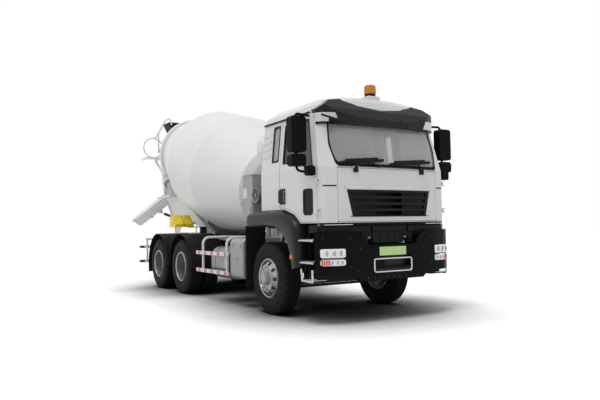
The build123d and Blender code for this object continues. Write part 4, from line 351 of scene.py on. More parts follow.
# %% Glass and lenses
def lens(name, colour, rough, transmission, glow=0.0):
    """A clear or coloured lens whose roughness varies a little."""
    mat, tree, shell = new_material(name)
    smear = add_node(tree, "Group", {"Scale": 3.0}, node_tree=stain_nodes)
    limits = {"To Min": rough, "To Max": rough + 0.05}
    spread = add_node(tree, "MapRange", {"Value": smear.outputs["Mask"], **limits})
    feed(tree, shell, {
        "Base Color": (*colour, 1), "Transmission Weight": transmission, "IOR": 1.45,
        "Roughness": spread.outputs["Result"],
    })
    if glow:
        feed(tree, shell, {"Emission Color": (*colour, 1), "Emission Strength": glow})
    return mat


clear_glass = lens("clear_glass", (0.80, 0.81, 0.82), 0.02, 0.74)
side_glass = lens("side_glass", (0.12, 0.13, 0.135), 0.02, 0.8)
lamp_glass = lens("lamp_glass", (0.95, 0.96, 0.97), 0.03, 0.86)
amber_dome = lens("amber_dome", (0.74, 0.27, 0.012), 0.10, 0.25)
red_lens = lens("red_lens", (0.60, 0.02, 0.015), 0.12, 0.2)
orange_lens = lens("orange_lens", (0.80, 0.11, 0.02), 0.1, 0.15, glow=0.03)
print("lenses ready")

# %% [markdown]
# Each CAD node takes the finish that its part of the truck has. The table is the whole paint plan:
# a finish on the left, the nodes that wear it on the right.

# %% Paint the CAD nodes
paint_plan = (
    (cab_paint, ("cab_shell", "cab_roof", "front_panel", "door_left_panel", "door_right_panel")),
    (mixer_paint, ("drum", "mixer_subframe", "front_pedestal", "rear_pedestal", "rear_portal", "water_tank",
                   "chute", "chute_extension", "chute_swivel", "discharge_collector", "guard_frames")),
    (frame_paint, ("frame_rails", "chute_jack_barrel", "wheel_chocks")),
    (bumper_black, ("front_bumper", "door_left_mirror", "door_right_mirror")),
    (visor_black, ("roof_visor",)),
    (dark_plastic, ("front_fenders", "rear_fenders", "feed_hopper", "grille", "tail_lamps")),
    (cast_metal, ("front_axle", "engine_block", "drive_axles", "bogie_springs", "knuckle_left",
                  "knuckle_right", "tie_rod", "drum_gearbox")),
    (clear_glass, ("cab_glass",)),
    (side_glass, ("door_left_glass", "door_right_glass")),
    (lamp_glass, ("front_lamps",)),
    (amber_dome, ("beacon",)),
    (tank_metal, ("tanks",)),
    (box_grey, ("equipment_boxes",)),
    (bright_steel, ("step_irons", "roller_left", "roller_right", "chute_jack_rod")),
    (cab_fabric, ("cab_interior",)),
    (tyre_rubber, tuple(f"tyre_{name}" for name in wheel_names)),
    (wheel_silver, ("rim_front_left", "rim_front_right")),
    (rear_wheel_paint, tuple(f"rim_{name}" for name in wheel_names[2:])),
)
for paint, names in paint_plan:
    for name in names:
        for material_slot in nodes[name].material_slots:
            material_slot.material = paint
painted = {name for paint, names in paint_plan for name in names}
print("painted", len(painted), "left over", sorted(set(nodes) - painted))

# %% [markdown]
# New pieces are built from a handful of shapes. The plainest are blocks and round bars, and each of
# these helpers adds one to an open mesh, so that a piece of many parts is still one object. Places are
# counted from the front axle, and a side of -1 mirrors a shape to the truck's right.


# %% Blocks and bars
def at(x, y, z):
    """A place whose x counts from the front axle."""
    return Vector((axle_x + x, y, z))


def span(middle, reach):
    """The two places at a reach on both sides of a middle."""
    return middle - reach, middle + reach


def both(value):
    """A (start, end) pair as it is, or one number twice."""
    return value if isinstance(value, tuple) else (value, value)


def block(mesh, xs, ys, zs, bevel=0.0, side=1, start_x=axle_x):
    """A block between pairs of x, y and z; side -1 mirrors it to the right, and bevel breaks its edges."""
    low, high = (Vector((start_x + pick(xs), pick(side * y for y in ys), pick(zs))) for pick in (min, max))
    place = Matrix.Translation((low + high) / 2) @ Matrix.Diagonal((*(high - low), 1))
    made = bmesh.ops.create_cube(mesh, size=1, matrix=place)
    if bevel:
        edges = list({edge for vert in made["verts"] for edge in vert.link_edges})
        bmesh.ops.bevel(mesh, geom=edges, offset=bevel, segments=2, profile=0.5, affect="EDGES", material=-1)


def add_bar(mesh, start, end, radius, count=10, tip=None):
    """A round bar between two points, or a cone when its end has its own radius."""
    run = Vector(end) - Vector(start)
    turn = run.to_track_quat("Z", "Y").to_matrix().to_4x4()
    place = Matrix.Translation((Vector(start) + Vector(end)) / 2) @ turn
    far = radius if tip is None else tip
    bmesh.ops.create_cone(mesh, cap_ends=True, segments=count, radius1=radius, radius2=far, depth=run.length,
                          matrix=place)


def rod(mesh, x, y, z, radius, count=10, side=1, start_x=axle_x, tip=None):
    """A bar along an axis: one of x, y and z is a (start, end) pair and the others are numbers."""
    start, end = (Vector((start_x + a, side * b, c)) for a, b, c in zip(both(x), both(y), both(z)))
    add_bar(mesh, start, end, radius, count, tip)


print("blocks and bars ready")

# %% [markdown]
# Pipes, turned rings and moulded bands need more than a block. A pipe is a circle that is extruded from
# place to place, a ring is a profile spun round its axis, and a band is a row of sections that are
# bridged. Curve objects could give pipes too, but a mesh joins the other shapes of its piece.


# %% Hoses, turned and lofted bodies
def smooth_route(points, turns):
    """A curve through the points, as a list of places (Catmull-Rom)."""
    ends = [Vector(p) for p in points]
    padded = [ends[0] * 2 - ends[1], *ends, ends[-1] * 2 - ends[-2]]
    route = []
    for a, b, c, d in zip(padded, padded[1:], padded[2:], padded[3:]):
        for step in range(turns):
            t = step / turns
            bend = (2 * a - 5 * b + 4 * c - d) * t * t + (3 * b - 3 * c + d - a) * t ** 3
            route.append(0.5 * (2 * b + (c - a) * t + bend))
    return route + [ends[-1]]


def add_hose(mesh, points, radius, count=8, turns=4):
    """A bent round hose or pipe: a circle that is extruded from place to place."""
    route = smooth_route(points, turns)
    way = (route[1] - route[0]).normalized()
    place = Matrix.Translation(route[0]) @ way.to_track_quat("Z", "Y").to_matrix().to_4x4()
    ring = bmesh.ops.create_circle(mesh, cap_ends=True, segments=count, radius=radius, matrix=place)["verts"]
    edges = [edge for edge in mesh.edges if edge.verts[0] in ring and edge.verts[1] in ring]
    for here, there in zip(route, route[1:]):
        new_way = (there - here).normalized()
        bend = way.rotation_difference(new_way).to_matrix().to_4x4()
        grown_part = bmesh.ops.extrude_edge_only(mesh, edges=edges)["geom"]
        ring = [item for item in grown_part if isinstance(item, bmesh.types.BMVert)]
        edges = [item for item in grown_part if isinstance(item, bmesh.types.BMEdge)]
        bmesh.ops.rotate(mesh, cent=here, matrix=bend, verts=ring)
        bmesh.ops.translate(mesh, vec=there - here, verts=ring)
        way = new_way
    bmesh.ops.contextual_create(mesh, geom=edges)


def add_turned(mesh, profile, centre, along, steps):
    """A body turned round an axis from (distance along it, radius) points."""
    axis = Vector(along).normalized()
    side = axis.orthogonal().normalized()
    verts = [mesh.verts.new(Vector(centre) + axis * a + side * r) for a, r in profile]
    outline = verts + [mesh.edges.new(pair) for pair in zip(verts, verts[1:])]
    bmesh.ops.spin(mesh, geom=outline, cent=centre, axis=axis, angle=math.tau, steps=steps, use_merge=True)


def outward(profile, side):
    """A profile whose distances run out from the truck on its side."""
    return [(side * a, r) for a, r in profile]


def add_loft(mesh, rings):
    """A closed skin through rings of points that have the same count, with both ends filled."""
    loops = []
    for ring in rings:
        verts = [mesh.verts.new(point) for point in ring]
        loops.append([mesh.edges.new(pair) for pair in zip(verts, verts[1:] + verts[:1])])
    for before, after in zip(loops, loops[1:]):
        bmesh.ops.bridge_loops(mesh, edges=before + after)
    for end in (loops[0], loops[-1]):
        bmesh.ops.contextual_create(mesh, geom=end)


print("hoses, turned and lofted bodies ready")

# %% [markdown]
# One closing function makes the object from its open mesh, gives it a finish and ties it to the body
# that it moves with. Where the CAD already has the right form, a piece is cut from a copy of its skin,
# because a copy fits better than a form drawn again.


# %% Close a piece, or cut one from the CAD
def close_piece(name, mesh, material, body, smooth=0):
    """Turns an open mesh into an object with a finish that rides a body; smooth is an angle in degrees."""
    bmesh.ops.remove_doubles(mesh, verts=mesh.verts, dist=1e-5)
    bmesh.ops.recalc_face_normals(mesh, faces=mesh.faces)
    if smooth:
        for face in mesh.faces:
            face.smooth = True
        for edge in mesh.edges:
            edge.smooth = len(edge.link_faces) == 2 and edge.calc_face_angle(0) < math.radians(smooth)
    data = bpy.data.meshes.new(name)
    mesh.to_mesh(data)
    mesh.free()
    data.materials.append(material)
    piece = bpy.data.objects.new(name, data)
    scene.collection.objects.link(piece)
    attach(piece, body)
    return piece


def make(name, material, body, shapes, smooth=0):
    """A piece from rows that each hold a shape helper and what it is given."""
    mesh = bmesh.new()
    for helper, *given in shapes:
        helper(mesh, *given)
    return close_piece(name, mesh, material, body, smooth)


def cut_patch(node, planes, lift=0.0, fill=False):
    """A copy of a CAD node's skin, kept on the inner side of every (point, outward normal) plane."""
    mesh = bmesh.new()
    mesh.from_mesh(nodes[node].data)
    mesh.transform(nodes[node].matrix_world)
    bmesh.ops.remove_doubles(mesh, verts=mesh.verts, dist=1e-5)
    bmesh.ops.recalc_face_normals(mesh, faces=mesh.faces)
    for point, way in planes:
        geometry = mesh.verts[:] + mesh.edges[:] + mesh.faces[:]
        bmesh.ops.bisect_plane(mesh, geom=geometry, plane_co=point, plane_no=way, clear_outer=True, dist=1e-6)
        if fill:
            bmesh.ops.holes_fill(mesh, edges=[edge for edge in mesh.edges if edge.is_boundary], sides=0)
    mesh.normal_update()
    for vert, shift in [(vert, vert.normal * lift) for vert in mesh.verts]:
        vert.co += shift
    return mesh


print("piece helpers ready")

# %% [markdown]
# A truck tyre is moulded rubber: a tread band with four grooves round it, blocks cut across, open
# shoulders, and sidewalls with raised rings. The section is turned round the axle and the blocks are
# raised from its faces, so every block is a real step and no picture is needed.

# %% Tyres
tyre_reach, rib_radius, tyre_steps = 0.1475, 0.536, 60
tyre_half_section = (
    # distance from the tyre's middle plane, radius
    (0.1070, 0.2863), (0.1070, 0.3000), (0.1240, 0.3050), (0.1320, 0.3140), (0.1370, 0.3380),
    (0.1392, 0.3400), (0.1402, 0.3520), (0.1394, 0.3560), (0.1450, 0.3950), (0.1470, 0.4040),
    (0.1470, 0.4120), (0.1452, 0.4160), (0.1412, 0.4680), (0.1400, 0.4720), (0.1360, 0.4920),
    (0.1250, 0.5160), (0.1190, 0.5260), (0.1080, rib_radius),
    (0.0790, rib_radius), (0.0770, 0.5240), (0.0670, 0.5240), (0.0650, rib_radius),
    (0.0270, rib_radius), (0.0250, 0.5240), (0.0150, 0.5240), (0.0130, rib_radius),
)
tyre_section = tyre_half_section + tuple((-a, r) for a, r in reversed(tyre_half_section))
shoulder_near, shoulder_far, shoulder_radius = 0.105, 0.126, 0.515


def tyre_mesh(centres):
    """One or two tyres as an open mesh, with blocks raised on the tread and slots cut in the shoulders."""
    mesh = bmesh.new()
    for centre in centres:
        add_turned(mesh, tyre_section, centre, (0, 1, 0), tyre_steps)
    bmesh.ops.remove_doubles(mesh, verts=mesh.verts, dist=1e-5)
    bmesh.ops.recalc_face_normals(mesh, faces=mesh.faces)
    tread, shoulder = [], []
    for face in mesh.faces:
        spot = face.calc_center_median()
        near = min(centres, key=lambda c: abs(c[1] - spot.y))
        x, z = spot.x - near[0], spot.z - near[2]
        radius, off = math.hypot(x, z), abs(spot.y - near[1])
        sector = int((math.atan2(z, x) / math.tau + 1) * tyre_steps)
        if radius > rib_radius - 0.003 and len(face.verts) == 4:
            tread.append(face)
        if shoulder_near < off < shoulder_far and radius > shoulder_radius and sector % 2 == 0:
            shoulder.append(face)
    bmesh.ops.inset_individual(mesh, faces=tread, thickness=0.0028, depth=0.0055, use_even_offset=True)
    slots = [face for face in shoulder if face.is_valid and face not in tread]
    bmesh.ops.inset_individual(mesh, faces=slots, thickness=0.003, depth=-0.010)
    return mesh


wheel_rows = []
for wheel in wheel_names:
    low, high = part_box(f"tyre_{wheel}")
    hub_x, hub_z = (low[0] + high[0]) / 2, (low[2] + high[2]) / 2
    twin = high[1] - low[1] > 0.4
    y_places = [low[1] + tyre_reach, high[1] - tyre_reach] if twin else [(low[1] + high[1]) / 2]
    wheel_rows.append((wheel, hub_x, hub_z, max(y_places, key=abs), not twin, 1 if high[1] > 0 else -1))
    mesh = tyre_mesh([(hub_x, y, hub_z) for y in y_places])
    tyre = close_piece(f"tread_{wheel}", mesh, tyre_rubber, f"wheel_{wheel}", 32)
    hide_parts(f"tyre_{wheel}")
print("tyres", len(wheel_rows), "faces in one", len(tyre.data.polygons))

# %% [markdown]
# The wheels are pressed steel discs held by ten nuts each. The front discs bulge outwards round the
# hub and the rear ones are dished, so the nuts sit at different depths. A bright ring guards the
# nuts, a lip closes the rim, and the hub ends in a bolted cap. Each nut could be an object of its own,
# but one open mesh a wheel takes them all, so that they turn with it as one piece.

# %% Wheel nuts and hub caps
nut_circle, nut_count = 0.1675, 10
cap_bolt_circle, cap_bolt_count = 0.085, 8
front_disc_reach, rear_disc_reach, rear_hub_end = 0.168, -0.154, 1.12
nut_parts = (
    # start and end outwards from the disc, radius, sides, end radius
    (-0.002, 0.006, 0.023, 12, None), (0.006, 0.026, 0.017, 6, 0.0155), (0.026, 0.036, 0.010, 8, None),
)
nut_ring = ((0.0, 0.196), (0.008, 0.196), (0.010, 0.190), (0.004, 0.186), (0.0, 0.186), (0.0, 0.196))
rim_lip = ((0.0, 0.262), (0.012, 0.272), (0.016, 0.284), (0.008, 0.290), (-0.006, 0.286), (-0.010, 0.262),
           (0.0, 0.262))
hub_cap = ((-0.002, 0.074), (0.008, 0.074), (0.012, 0.066), (0.013, 0.040), (0.0135, 0.001))
for wheel, hub_x, hub_z, outer_y, front, side in wheel_rows:
    body, across = f"wheel_{wheel}", (0, 1, 0)
    disc_y = outer_y + side * (front_disc_reach if front else rear_disc_reach)
    hub_end = disc_y + side * 0.042 if front else side * rear_hub_end
    mesh = bmesh.new()
    for nut in range(nut_count):
        turn = math.tau * (nut + 0.5) / nut_count
        x, z = hub_x + nut_circle * math.cos(turn), hub_z + nut_circle * math.sin(turn)
        for near, far, radius, count, tip in nut_parts:
            add_bar(mesh, (x, disc_y + side * near, z), (x, disc_y + side * far, z), radius, count, tip)
    add_turned(mesh, outward(nut_ring, side), (hub_x, disc_y, hub_z), across, 40)
    close_piece(f"wheel_nuts_{wheel}", mesh, bright_steel, body, 40)
    mesh = bmesh.new()
    add_turned(mesh, outward(rim_lip, side), (hub_x, outer_y + side * 0.132, hub_z), across, 48)
    close_piece(f"rim_lip_{wheel}", mesh, wheel_silver, body, 40)
    mesh = bmesh.new()
    add_turned(mesh, outward(hub_cap, side), (hub_x, hub_end, hub_z), across, 32)
    bolt_y = hub_end - side * (0.006 if front else 0.012)
    for bolt in range(cap_bolt_count):
        turn = math.tau * bolt / cap_bolt_count
        x, z = hub_x + cap_bolt_circle * math.cos(turn), hub_z + cap_bolt_circle * math.sin(turn)
        add_bar(mesh, (x, bolt_y, z), (x, bolt_y + side * 0.014, z), 0.008, 6)
    close_piece(f"hub_cap_{wheel}", mesh, wheel_silver if front else cast_metal, body, 40)
print("nuts and caps on", len(wheel_rows), "wheels")

# %% [markdown]
# The cab's skin is upright to the waist and leans in above it, with a bowed front and rounded corners.
# A few small functions give a point on that skin, so seals, trim and plates can be drawn flat and laid
# on it with a small lift.

# %% The cab's skin
waist_z, eaves_z = 2.100, 2.880
waist_half, lean_in = 1.140, 0.080
waist_front, lean_back = 1.462, 0.200
front_bow = 0.042
corner_steps = ((0.250, 0.0), (0.100, 0.042), (0.025, 0.112), (0.0, 0.172))


def cab_lean(z):
    """0 at the waist and below, 1 at the eaves."""
    return min(max((z - waist_z) / (eaves_z - waist_z), 0.0), 1.0)


def cab_half(z):
    """Half the cab's width at a height."""
    return waist_half - lean_in * cab_lean(z)


def cab_front(y, z):
    """X of the cab's front skin."""
    nose = axle_x + waist_front - lean_back * cab_lean(z)
    edge = cab_half(z)
    chord = edge - corner_steps[0][0]
    if abs(y) <= chord:
        curve = (chord ** 2 + front_bow ** 2) / (2 * front_bow)
        return nose + front_bow - (curve - math.sqrt(curve ** 2 - y ** 2))
    for (in_a, back_a), (in_b, back_b) in zip(corner_steps, corner_steps[1:]):
        if abs(y) <= edge - in_b:
            share = (abs(y) - (edge - in_a)) / (in_a - in_b)
            return nose - back_a - (back_b - back_a) * share
    return nose - corner_steps[-1][1]


def lay_on_front(mesh, lift):
    """Flat (y, z) drawing to the front skin; the drawing's third value is its thickness."""
    for vert in mesh.verts:
        y, z, out = vert.co
        vert.co = (cab_front(y, z) + lift + out, y, z)


def lay_on_side(mesh, lift, side):
    """Flat (x, z) drawing to a side's skin."""
    for vert in mesh.verts:
        x, z, out = vert.co
        vert.co = (x, side * (cab_half(z) + lift + out), z)


print("skin at the grille", round(cab_front(0, 1.6), 3), "and at the eaves", round(cab_front(0, 2.88), 3))

# %% [markdown]
# Seals and trim are thin bands. Each is drawn flat between two outlines with rounded corners, thickened,
# and then laid on the skin, which is simpler than drawing it on the bent surface.


# %% Outlines and bands
def rounded(points, radius, steps):
    """A closed outline with its corners rounded: every corner gives steps + 1 points."""
    result = []
    for index, point in enumerate(points):
        here = Vector(point)
        before = Vector(points[index - 1]) - here
        after = Vector(points[(index + 1) % len(points)]) - here
        cut = min(radius, before.length * 0.45, after.length * 0.45)
        start, end = here + before.normalized() * cut, here + after.normalized() * cut
        for step in range(steps + 1):
            t = step / steps
            result.append(start * (1 - t) ** 2 + here * 2 * t * (1 - t) + end * t * t)
    return result


def grown(points, reach):
    """An outline moved out from its middle by about reach on each side."""
    spans = [(min(p[k] for p in points), max(p[k] for p in points)) for k in (0, 1)]
    mid_u, mid_v = ((low + high) / 2 for low, high in spans)
    grow_u, grow_v = (1 + reach / ((high - low) / 2) for low, high in spans)
    return [(mid_u + (u - mid_u) * grow_u, mid_v + (v - mid_v) * grow_v) for u, v in points]


def add_outline(mesh, points):
    """A closed loop of edges in the flat."""
    verts = [mesh.verts.new((p[0], p[1], 0.0)) for p in points]
    return [mesh.edges.new((a, b)) for a, b in zip(verts, verts[1:] + verts[:1])]


def thicken(mesh, thick):
    """Gives a flat drawing its thickness."""
    raised = bmesh.ops.extrude_face_region(mesh, geom=mesh.faces[:])["geom"]
    verts = [item for item in raised if isinstance(item, bmesh.types.BMVert)]
    bmesh.ops.translate(mesh, vec=(0, 0, thick), verts=verts)


def add_band(mesh, outer, inner, thick):
    """A flat band between two loops of the same count, with its long edges divided, and thickened."""
    rings = add_outline(mesh, outer) + add_outline(mesh, inner)
    bmesh.ops.bridge_loops(mesh, edges=rings)
    long_edges = [edge for edge in rings if edge.calc_length() > 0.22]
    if long_edges:
        bmesh.ops.subdivide_edges(mesh, edges=long_edges, cuts=9, use_grid_fill=True)
    thicken(mesh, thick)


def seal_mesh(outline, reaches, radii, steps, thick):
    """A rounded band round a window, from its outer to its inner reach."""
    mesh = bmesh.new()
    outer, inner = (rounded(grown(outline, reach), radius, steps) for reach, radius in zip(reaches, radii))
    add_band(mesh, outer, inner, thick)
    return mesh


print("outline helpers ready")

# %% [markdown]
# Every window sits in a black rubber seal with rounded corners, and a dark pane closes the small kerb
# window of the right door. The seals hide the sharp corners of the CAD glass. A tube along the edge
# would stand too proud, so each seal is a flat band between two rounded outlines, thickened a little
# and laid on the skin.


# %% Window seals
def from_axle(*points):
    """Outline points given from the front axle."""
    return [(axle_x + x, z) for x, z in points]


screen_outline = [
    (-0.890, 2.128), (0.890, 2.128), (0.945, 2.400), (0.905, 2.790), (-0.905, 2.790), (-0.945, 2.400),
]
door_window = from_axle(
    (0.440, 2.215), (0.900, 2.215), (1.060, 2.110), (1.262, 2.085), (1.085, 2.780), (0.440, 2.780),
)
quarter_window = from_axle((0.105, 2.269), (0.300, 2.269), (0.300, 2.800), (0.105, 2.800))
kerb_window = from_axle((1.022, 1.472), (1.240, 1.472), (1.240, 1.807), (1.022, 1.807))
seal_rows = (
    # name, side, outline, outer and inner reach, corner radii, corner steps, thickness, lift, body
    ("quarter_seal_left", 1, quarter_window, (0.008, -0.018), (0.03, 0.05), 4, 0.008, -0.004, "cab"),
    ("door_seal_left", 1, door_window, (0.008, -0.020), (0.03, 0.06), 4, 0.008, -0.004, "door_left"),
    ("quarter_seal_right", -1, quarter_window, (0.008, -0.018), (0.03, 0.05), 4, 0.008, -0.004, "cab"),
    ("door_seal_right", -1, door_window, (0.008, -0.020), (0.03, 0.06), 4, 0.008, -0.004, "door_right"),
    ("kerb_seal", -1, kerb_window, (0.012, -0.026), (0.06, 0.055), 5, 0.009, -0.001, "door_right"),
)

mesh = seal_mesh(screen_outline, (0.006, -0.014), (0.04, 0.10), 5, 0.006)
lay_on_front(mesh, -0.0035)
close_piece("screen_seal", mesh, gloss_black, "cab", 35)
for name, side, outline, reaches, radii, steps, thick, lift, body in seal_rows:
    mesh = seal_mesh(outline, reaches, radii, steps, thick)
    lay_on_side(mesh, lift, side)
    close_piece(name, mesh, gloss_black, body, 35)
mesh = bmesh.new()
bmesh.ops.contextual_create(mesh, geom=add_outline(mesh, rounded(grown(kerb_window, -0.010), 0.050, 5)))
thicken(mesh, 0.003)
lay_on_side(mesh, -0.001, -1)
close_piece("kerb_pane", mesh, gloss_black, "door_right")
print("seals laid", 1 + len(seal_rows))

# %% [markdown]
# Trim on the cab: black drip rails under the roof, door handles in dark recesses, the louvres that vent
# the cab's rear corners, a dark slot at each front corner, a bar below the grille, and a bright steel strip
# on the panel's lip above the grille: the lip is real, its brightness is a painted highlight. Painted
# lines could stand for most of them, but real steps catch the light at their edges.

# %% Cab trim
rail_z, grip_z = 2.872, 1.745
for side_name, side in sides:
    rail_y = side * (cab_half(rail_z) + 0.009)
    rail = [at(-0.20 + step * (1.29 / 8), rail_y, rail_z) for step in range(9)]
    make(f"drip_rail_{side_name}", gloss_black, "cab", [(add_hose, rail, 0.015, 8, 2)], 40)
    skin_y = cab_half(grip_z)
    make(f"door_grip_{side_name}", gloss_black, f"door_{side_name}", [
        (block, (0.352, 0.520), (skin_y + 0.0005, skin_y + 0.005), (1.632, 1.858), 0.002, side),
        (block, (0.366, 0.506), (skin_y + 0.024, skin_y + 0.034), (1.652, 1.838), 0.004, side),
    ])
    mesh = bmesh.new()
    for step in range(4):
        z = 2.36 + step * 0.105
        block(mesh, (-0.185, 0.045), (cab_half(z) - 0.002, cab_half(z) + 0.008), (z, z + 0.055), 0.003, side)
    close_piece(f"cab_louvres_{side_name}", mesh, cab_paint, "cab")
    mesh = bmesh.new()
    block(mesh, (side * 0.900, side * 1.075), (1.836, 1.852), (0.0, 0.004), start_x=0.0)
    bmesh.ops.subdivide_edges(mesh, edges=mesh.edges[:], cuts=3, use_grid_fill=True)
    lay_on_front(mesh, 0.001)
    close_piece(f"corner_slot_{side_name}", mesh, gloss_black, "cab")

grille_bars = (
    # name, finish, first and second edge as half width and z, inner reach, thickness
    # The bright steel strip above the grille is a painted highlight along the panel's lip.
    ("grille_lip_highlight", bright_steel, (0.765, 1.808), (0.778, 1.842), -0.0165, 0.012),
    ("grille_foot", gloss_black, (0.690, 1.440), (0.690, 1.432), -0.0015, 0.010),
)
for name, metal, (half_a, z_a), (half_b, z_b), reach, thick in grille_bars:
    outline = [(-half_a, z_a), (half_a, z_a), (half_b, z_b), (-half_b, z_b)]
    mesh = bmesh.new()
    add_band(mesh, outline, grown(outline, reach), thick)
    lay_on_front(mesh, 0.0)
    close_piece(name, mesh, metal, "front_flap", 35)
print("cab trim on")

# %% [markdown]
# The windscreen's foot carries a black cowl, two wipers that lie to the left, and two small brackets.
# Each wiper is an arm from its pivot and a blade that follows the glass. One straight bar would cut
# through the bowed glass, so the blade is a row of short ones, each laid on it.

# %% Cowl and wipers
mesh = bmesh.new()
cowl = [(-0.86, 2.106), (0.86, 2.106), (0.885, 2.150), (-0.885, 2.150)]
add_band(mesh, cowl, grown(cowl, -0.012), 0.012)
add_band(mesh, grown(cowl, -0.006), grown(cowl, -0.0195), 0.009)
lay_on_front(mesh, -0.004)
for y in (-0.60, 0.58):
    block(mesh, (-0.004, 0.030), span(y, 0.034), (2.028, 2.108), 0.006, start_x=cab_front(y, 2.05))
close_piece("cowl", mesh, dark_plastic, "cab", 35)

wiper_rows = (
    # pivot y, blade's low end (y, z), blade's high end (y, z)
    (-0.22, (-0.84, 2.150), (-0.12, 2.205)),
    (0.62, (-0.02, 2.150), (0.78, 2.215)),
)
blade_steps = 8
blade_layers = (
    # shift off the blade's line, radius, first and last step
    ((0, 0, 0), 0.016, 0, 7), ((0.010, 0, 0.012), 0.010, 0, 7), ((-0.006, 0, 0.034), 0.014, 1, 6),
)


def on_glass(ends, share, lift):
    """A place along a wiper's blade, lifted off the glass."""
    (low_y, low_z), (high_y, high_z) = ends
    y, z = low_y + (high_y - low_y) * share, low_z + (high_z - low_z) * share
    return Vector((cab_front(y, z) + lift, y, z))


mesh = bmesh.new()
for pivot_y, *ends in wiper_rows:
    pivot = Vector((cab_front(pivot_y, 2.12) + 0.020, pivot_y, 2.120))
    rod(mesh, (-0.03, 0.012), pivot_y, pivot.z, 0.022, 12, start_x=pivot.x)
    middle = on_glass(ends, 0.5, 0.032)
    add_hose(mesh, [pivot, pivot.lerp(middle, 0.5) + Vector((0.014, 0, 0.012)), middle], 0.011, 6)
    for shift, radius, first, last in blade_layers:
        for step in range(first, last + 1):
            places = [on_glass(ends, (step + k) / blade_steps, 0.016) + Vector(shift) for k in (0, 1)]
            add_bar(mesh, *places, radius, 6)
    grip = on_glass(ends, 0.62, 0.030)
    block(mesh, (-0.014, 0.010), span(grip.y, 0.075), (grip.z - 0.012, grip.z + 0.040), 0.006, start_x=grip.x)
close_piece("wipers", mesh, dark_plastic, "cab", 35)
print("wipers on")

# %% [markdown]
# The bumper is a black pressed shell, copied from the CAD's without its wings, and its hinge pins are
# drawn a little thinner so that they stay clear of the cab's turning eyes. The lamps are bright faces
# with round bowls that stand just proud of its skin, and an orange lamp is in the lower row. A small
# function gives the skin's bend across the truck, so that lamps and bolts follow it.


# %% Bumper and lamps
def bumper_skin(y):
    """X of the bumper's front skin at a place across it."""
    rows = ((0.0, 0.0), (0.35, 0.0), (0.50, 0.003), (0.80, 0.020), (0.95, 0.038), (1.05, 0.070),
            (1.15, 0.134), (1.20, 0.211))
    for (y0, b0), (y1, b1) in zip(rows, rows[1:]):
        if abs(y) <= y1:
            return bumper_x - b0 - (b1 - b0) * (abs(y) - y0) / (y1 - y0)
    return bumper_x - rows[-1][1]


def x_plane(x, way):
    """A cutting plane across the truck, at a distance from the front axle."""
    return (axle_x + x, 0, 0), (way, 0, 0)


pin_near, pin_far, pin_reach, pin_share = 0.290, 0.360, 0.0215, 0.92
shell = cut_patch("front_bumper", (x_plane(1.33, -1),), fill=True)
for vert in shell.verts:
    off_x, off_z = vert.co.x - hinge_x, vert.co.z - hinge_z
    if pin_near < abs(vert.co.y) < pin_far and math.hypot(off_x, off_z) < pin_reach:
        vert.co.x, vert.co.z = hinge_x + off_x * pin_share, hinge_z + off_z * pin_share
bumper = close_piece("bumper_shell", shell, bumper_black, "chassis", 30)
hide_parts("front_bumper")
make("bumper_brackets", frame_paint, "chassis", [
    (block, (1.28, 1.490), (0.34, 0.42), (0.80, 0.94), 0.006, -1),
    (block, (1.28, 1.490), (0.34, 0.42), (0.80, 0.94), 0.006, 1),
    (block, (1.385, 1.420), (-0.372, 0.372), (0.640, 0.900), 0.004),
])

lamp_rows = (
    # low z, high z, circle radius, distances of the circles from the middle
    (0.890, 1.008, 0.044, (0.862, 0.958, 1.054)),
    (0.786, 0.866, 0.031, (0.846, 0.916, 0.986)),
)
lamp_inner, lamp_outer, lamp_stations = 0.800, 1.132, 12
indicator_slice = 0.104 / 4
for side_name, side in sides:
    faces, bowls, indicator = bmesh.new(), bmesh.new(), bmesh.new()
    for z_low, z_high, radius, places in lamp_rows:
        rings = []
        for station in range(lamp_stations + 1):
            y = lamp_inner + (lamp_outer - lamp_inner) * station / lamp_stations
            tuck = 0.012 if station in (0, lamp_stations) else 0.0
            face, low, high = bumper_skin(y) + 0.012, z_low + tuck, z_high - tuck
            section = ((-0.010, low), (-0.002, low), (0, low + 0.008),
                       (0, high - 0.008), (-0.002, high), (-0.010, high))
            rings.append([(face + x, side * y, z) for x, z in section])
        add_loft(faces, rings)
        rim = [(0.0, radius), (0.006, radius), (0.006, radius * 0.84), (0.0, radius * 0.84), (0.0, radius)]
        bowl = [(0.0, 0.001), (0.0, radius * 0.92), (0.003, radius * 0.90), (0.001, radius * 0.45),
                (0.006, radius * 0.30), (0.007, 0.001)]
        for y in places:
            for lamp_mesh, profile, lift in ((faces, rim, 0.011), (bowls, bowl, 0.0115)):
                lamp_place = (bumper_skin(y) + lift, side * y, (z_low + z_high) / 2)
                add_turned(lamp_mesh, profile, lamp_place, (1, 0, 0), 24)
    for index in range(4):
        y = 1.022 + index * indicator_slice
        face = bumper_skin(y + 0.013) + 0.016
        block(indicator, (-0.018, 0.0), (y, y + indicator_slice), (0.792, 0.860), 0.001, side, face)
    close_piece(f"lamp_face_{side_name}", faces, lamp_chrome, "chassis", 35)
    close_piece(f"lamp_bowls_{side_name}", bowls, lamp_bowl, "chassis", 40)
    close_piece(f"indicator_{side_name}", indicator, orange_lens, "chassis")
print("bumper and lamps on")

# %% [markdown]
# A blank pale green plate hangs in the middle of the bumper. Below it a bright tube loop frames a
# toothed step, and bolt heads run along the lower apron. The loop could be a bent curve, but bars with
# a short plug at each joint stay a closed mesh at its tight corners.

# %% Plate, step and bolts on the bumper
make("front_plate", plate_green, "chassis",
     [(block, (-0.003, 0.004), (-0.237, 0.237), (0.893, 1.012), 0.002, 1, bumper_x)])
make("plate_frame", dark_plastic, "chassis",
     [(block, (-0.004, 0.002), (-0.243, 0.243), (0.887, 1.018), 0.001, 1, bumper_x)])
irons_mesh = cut_patch("step_irons", (x_plane(1.31, 1),), fill=True)
irons = close_piece("step_frames", irons_mesh, dark_plastic, "chassis", 30)
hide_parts("step_irons")

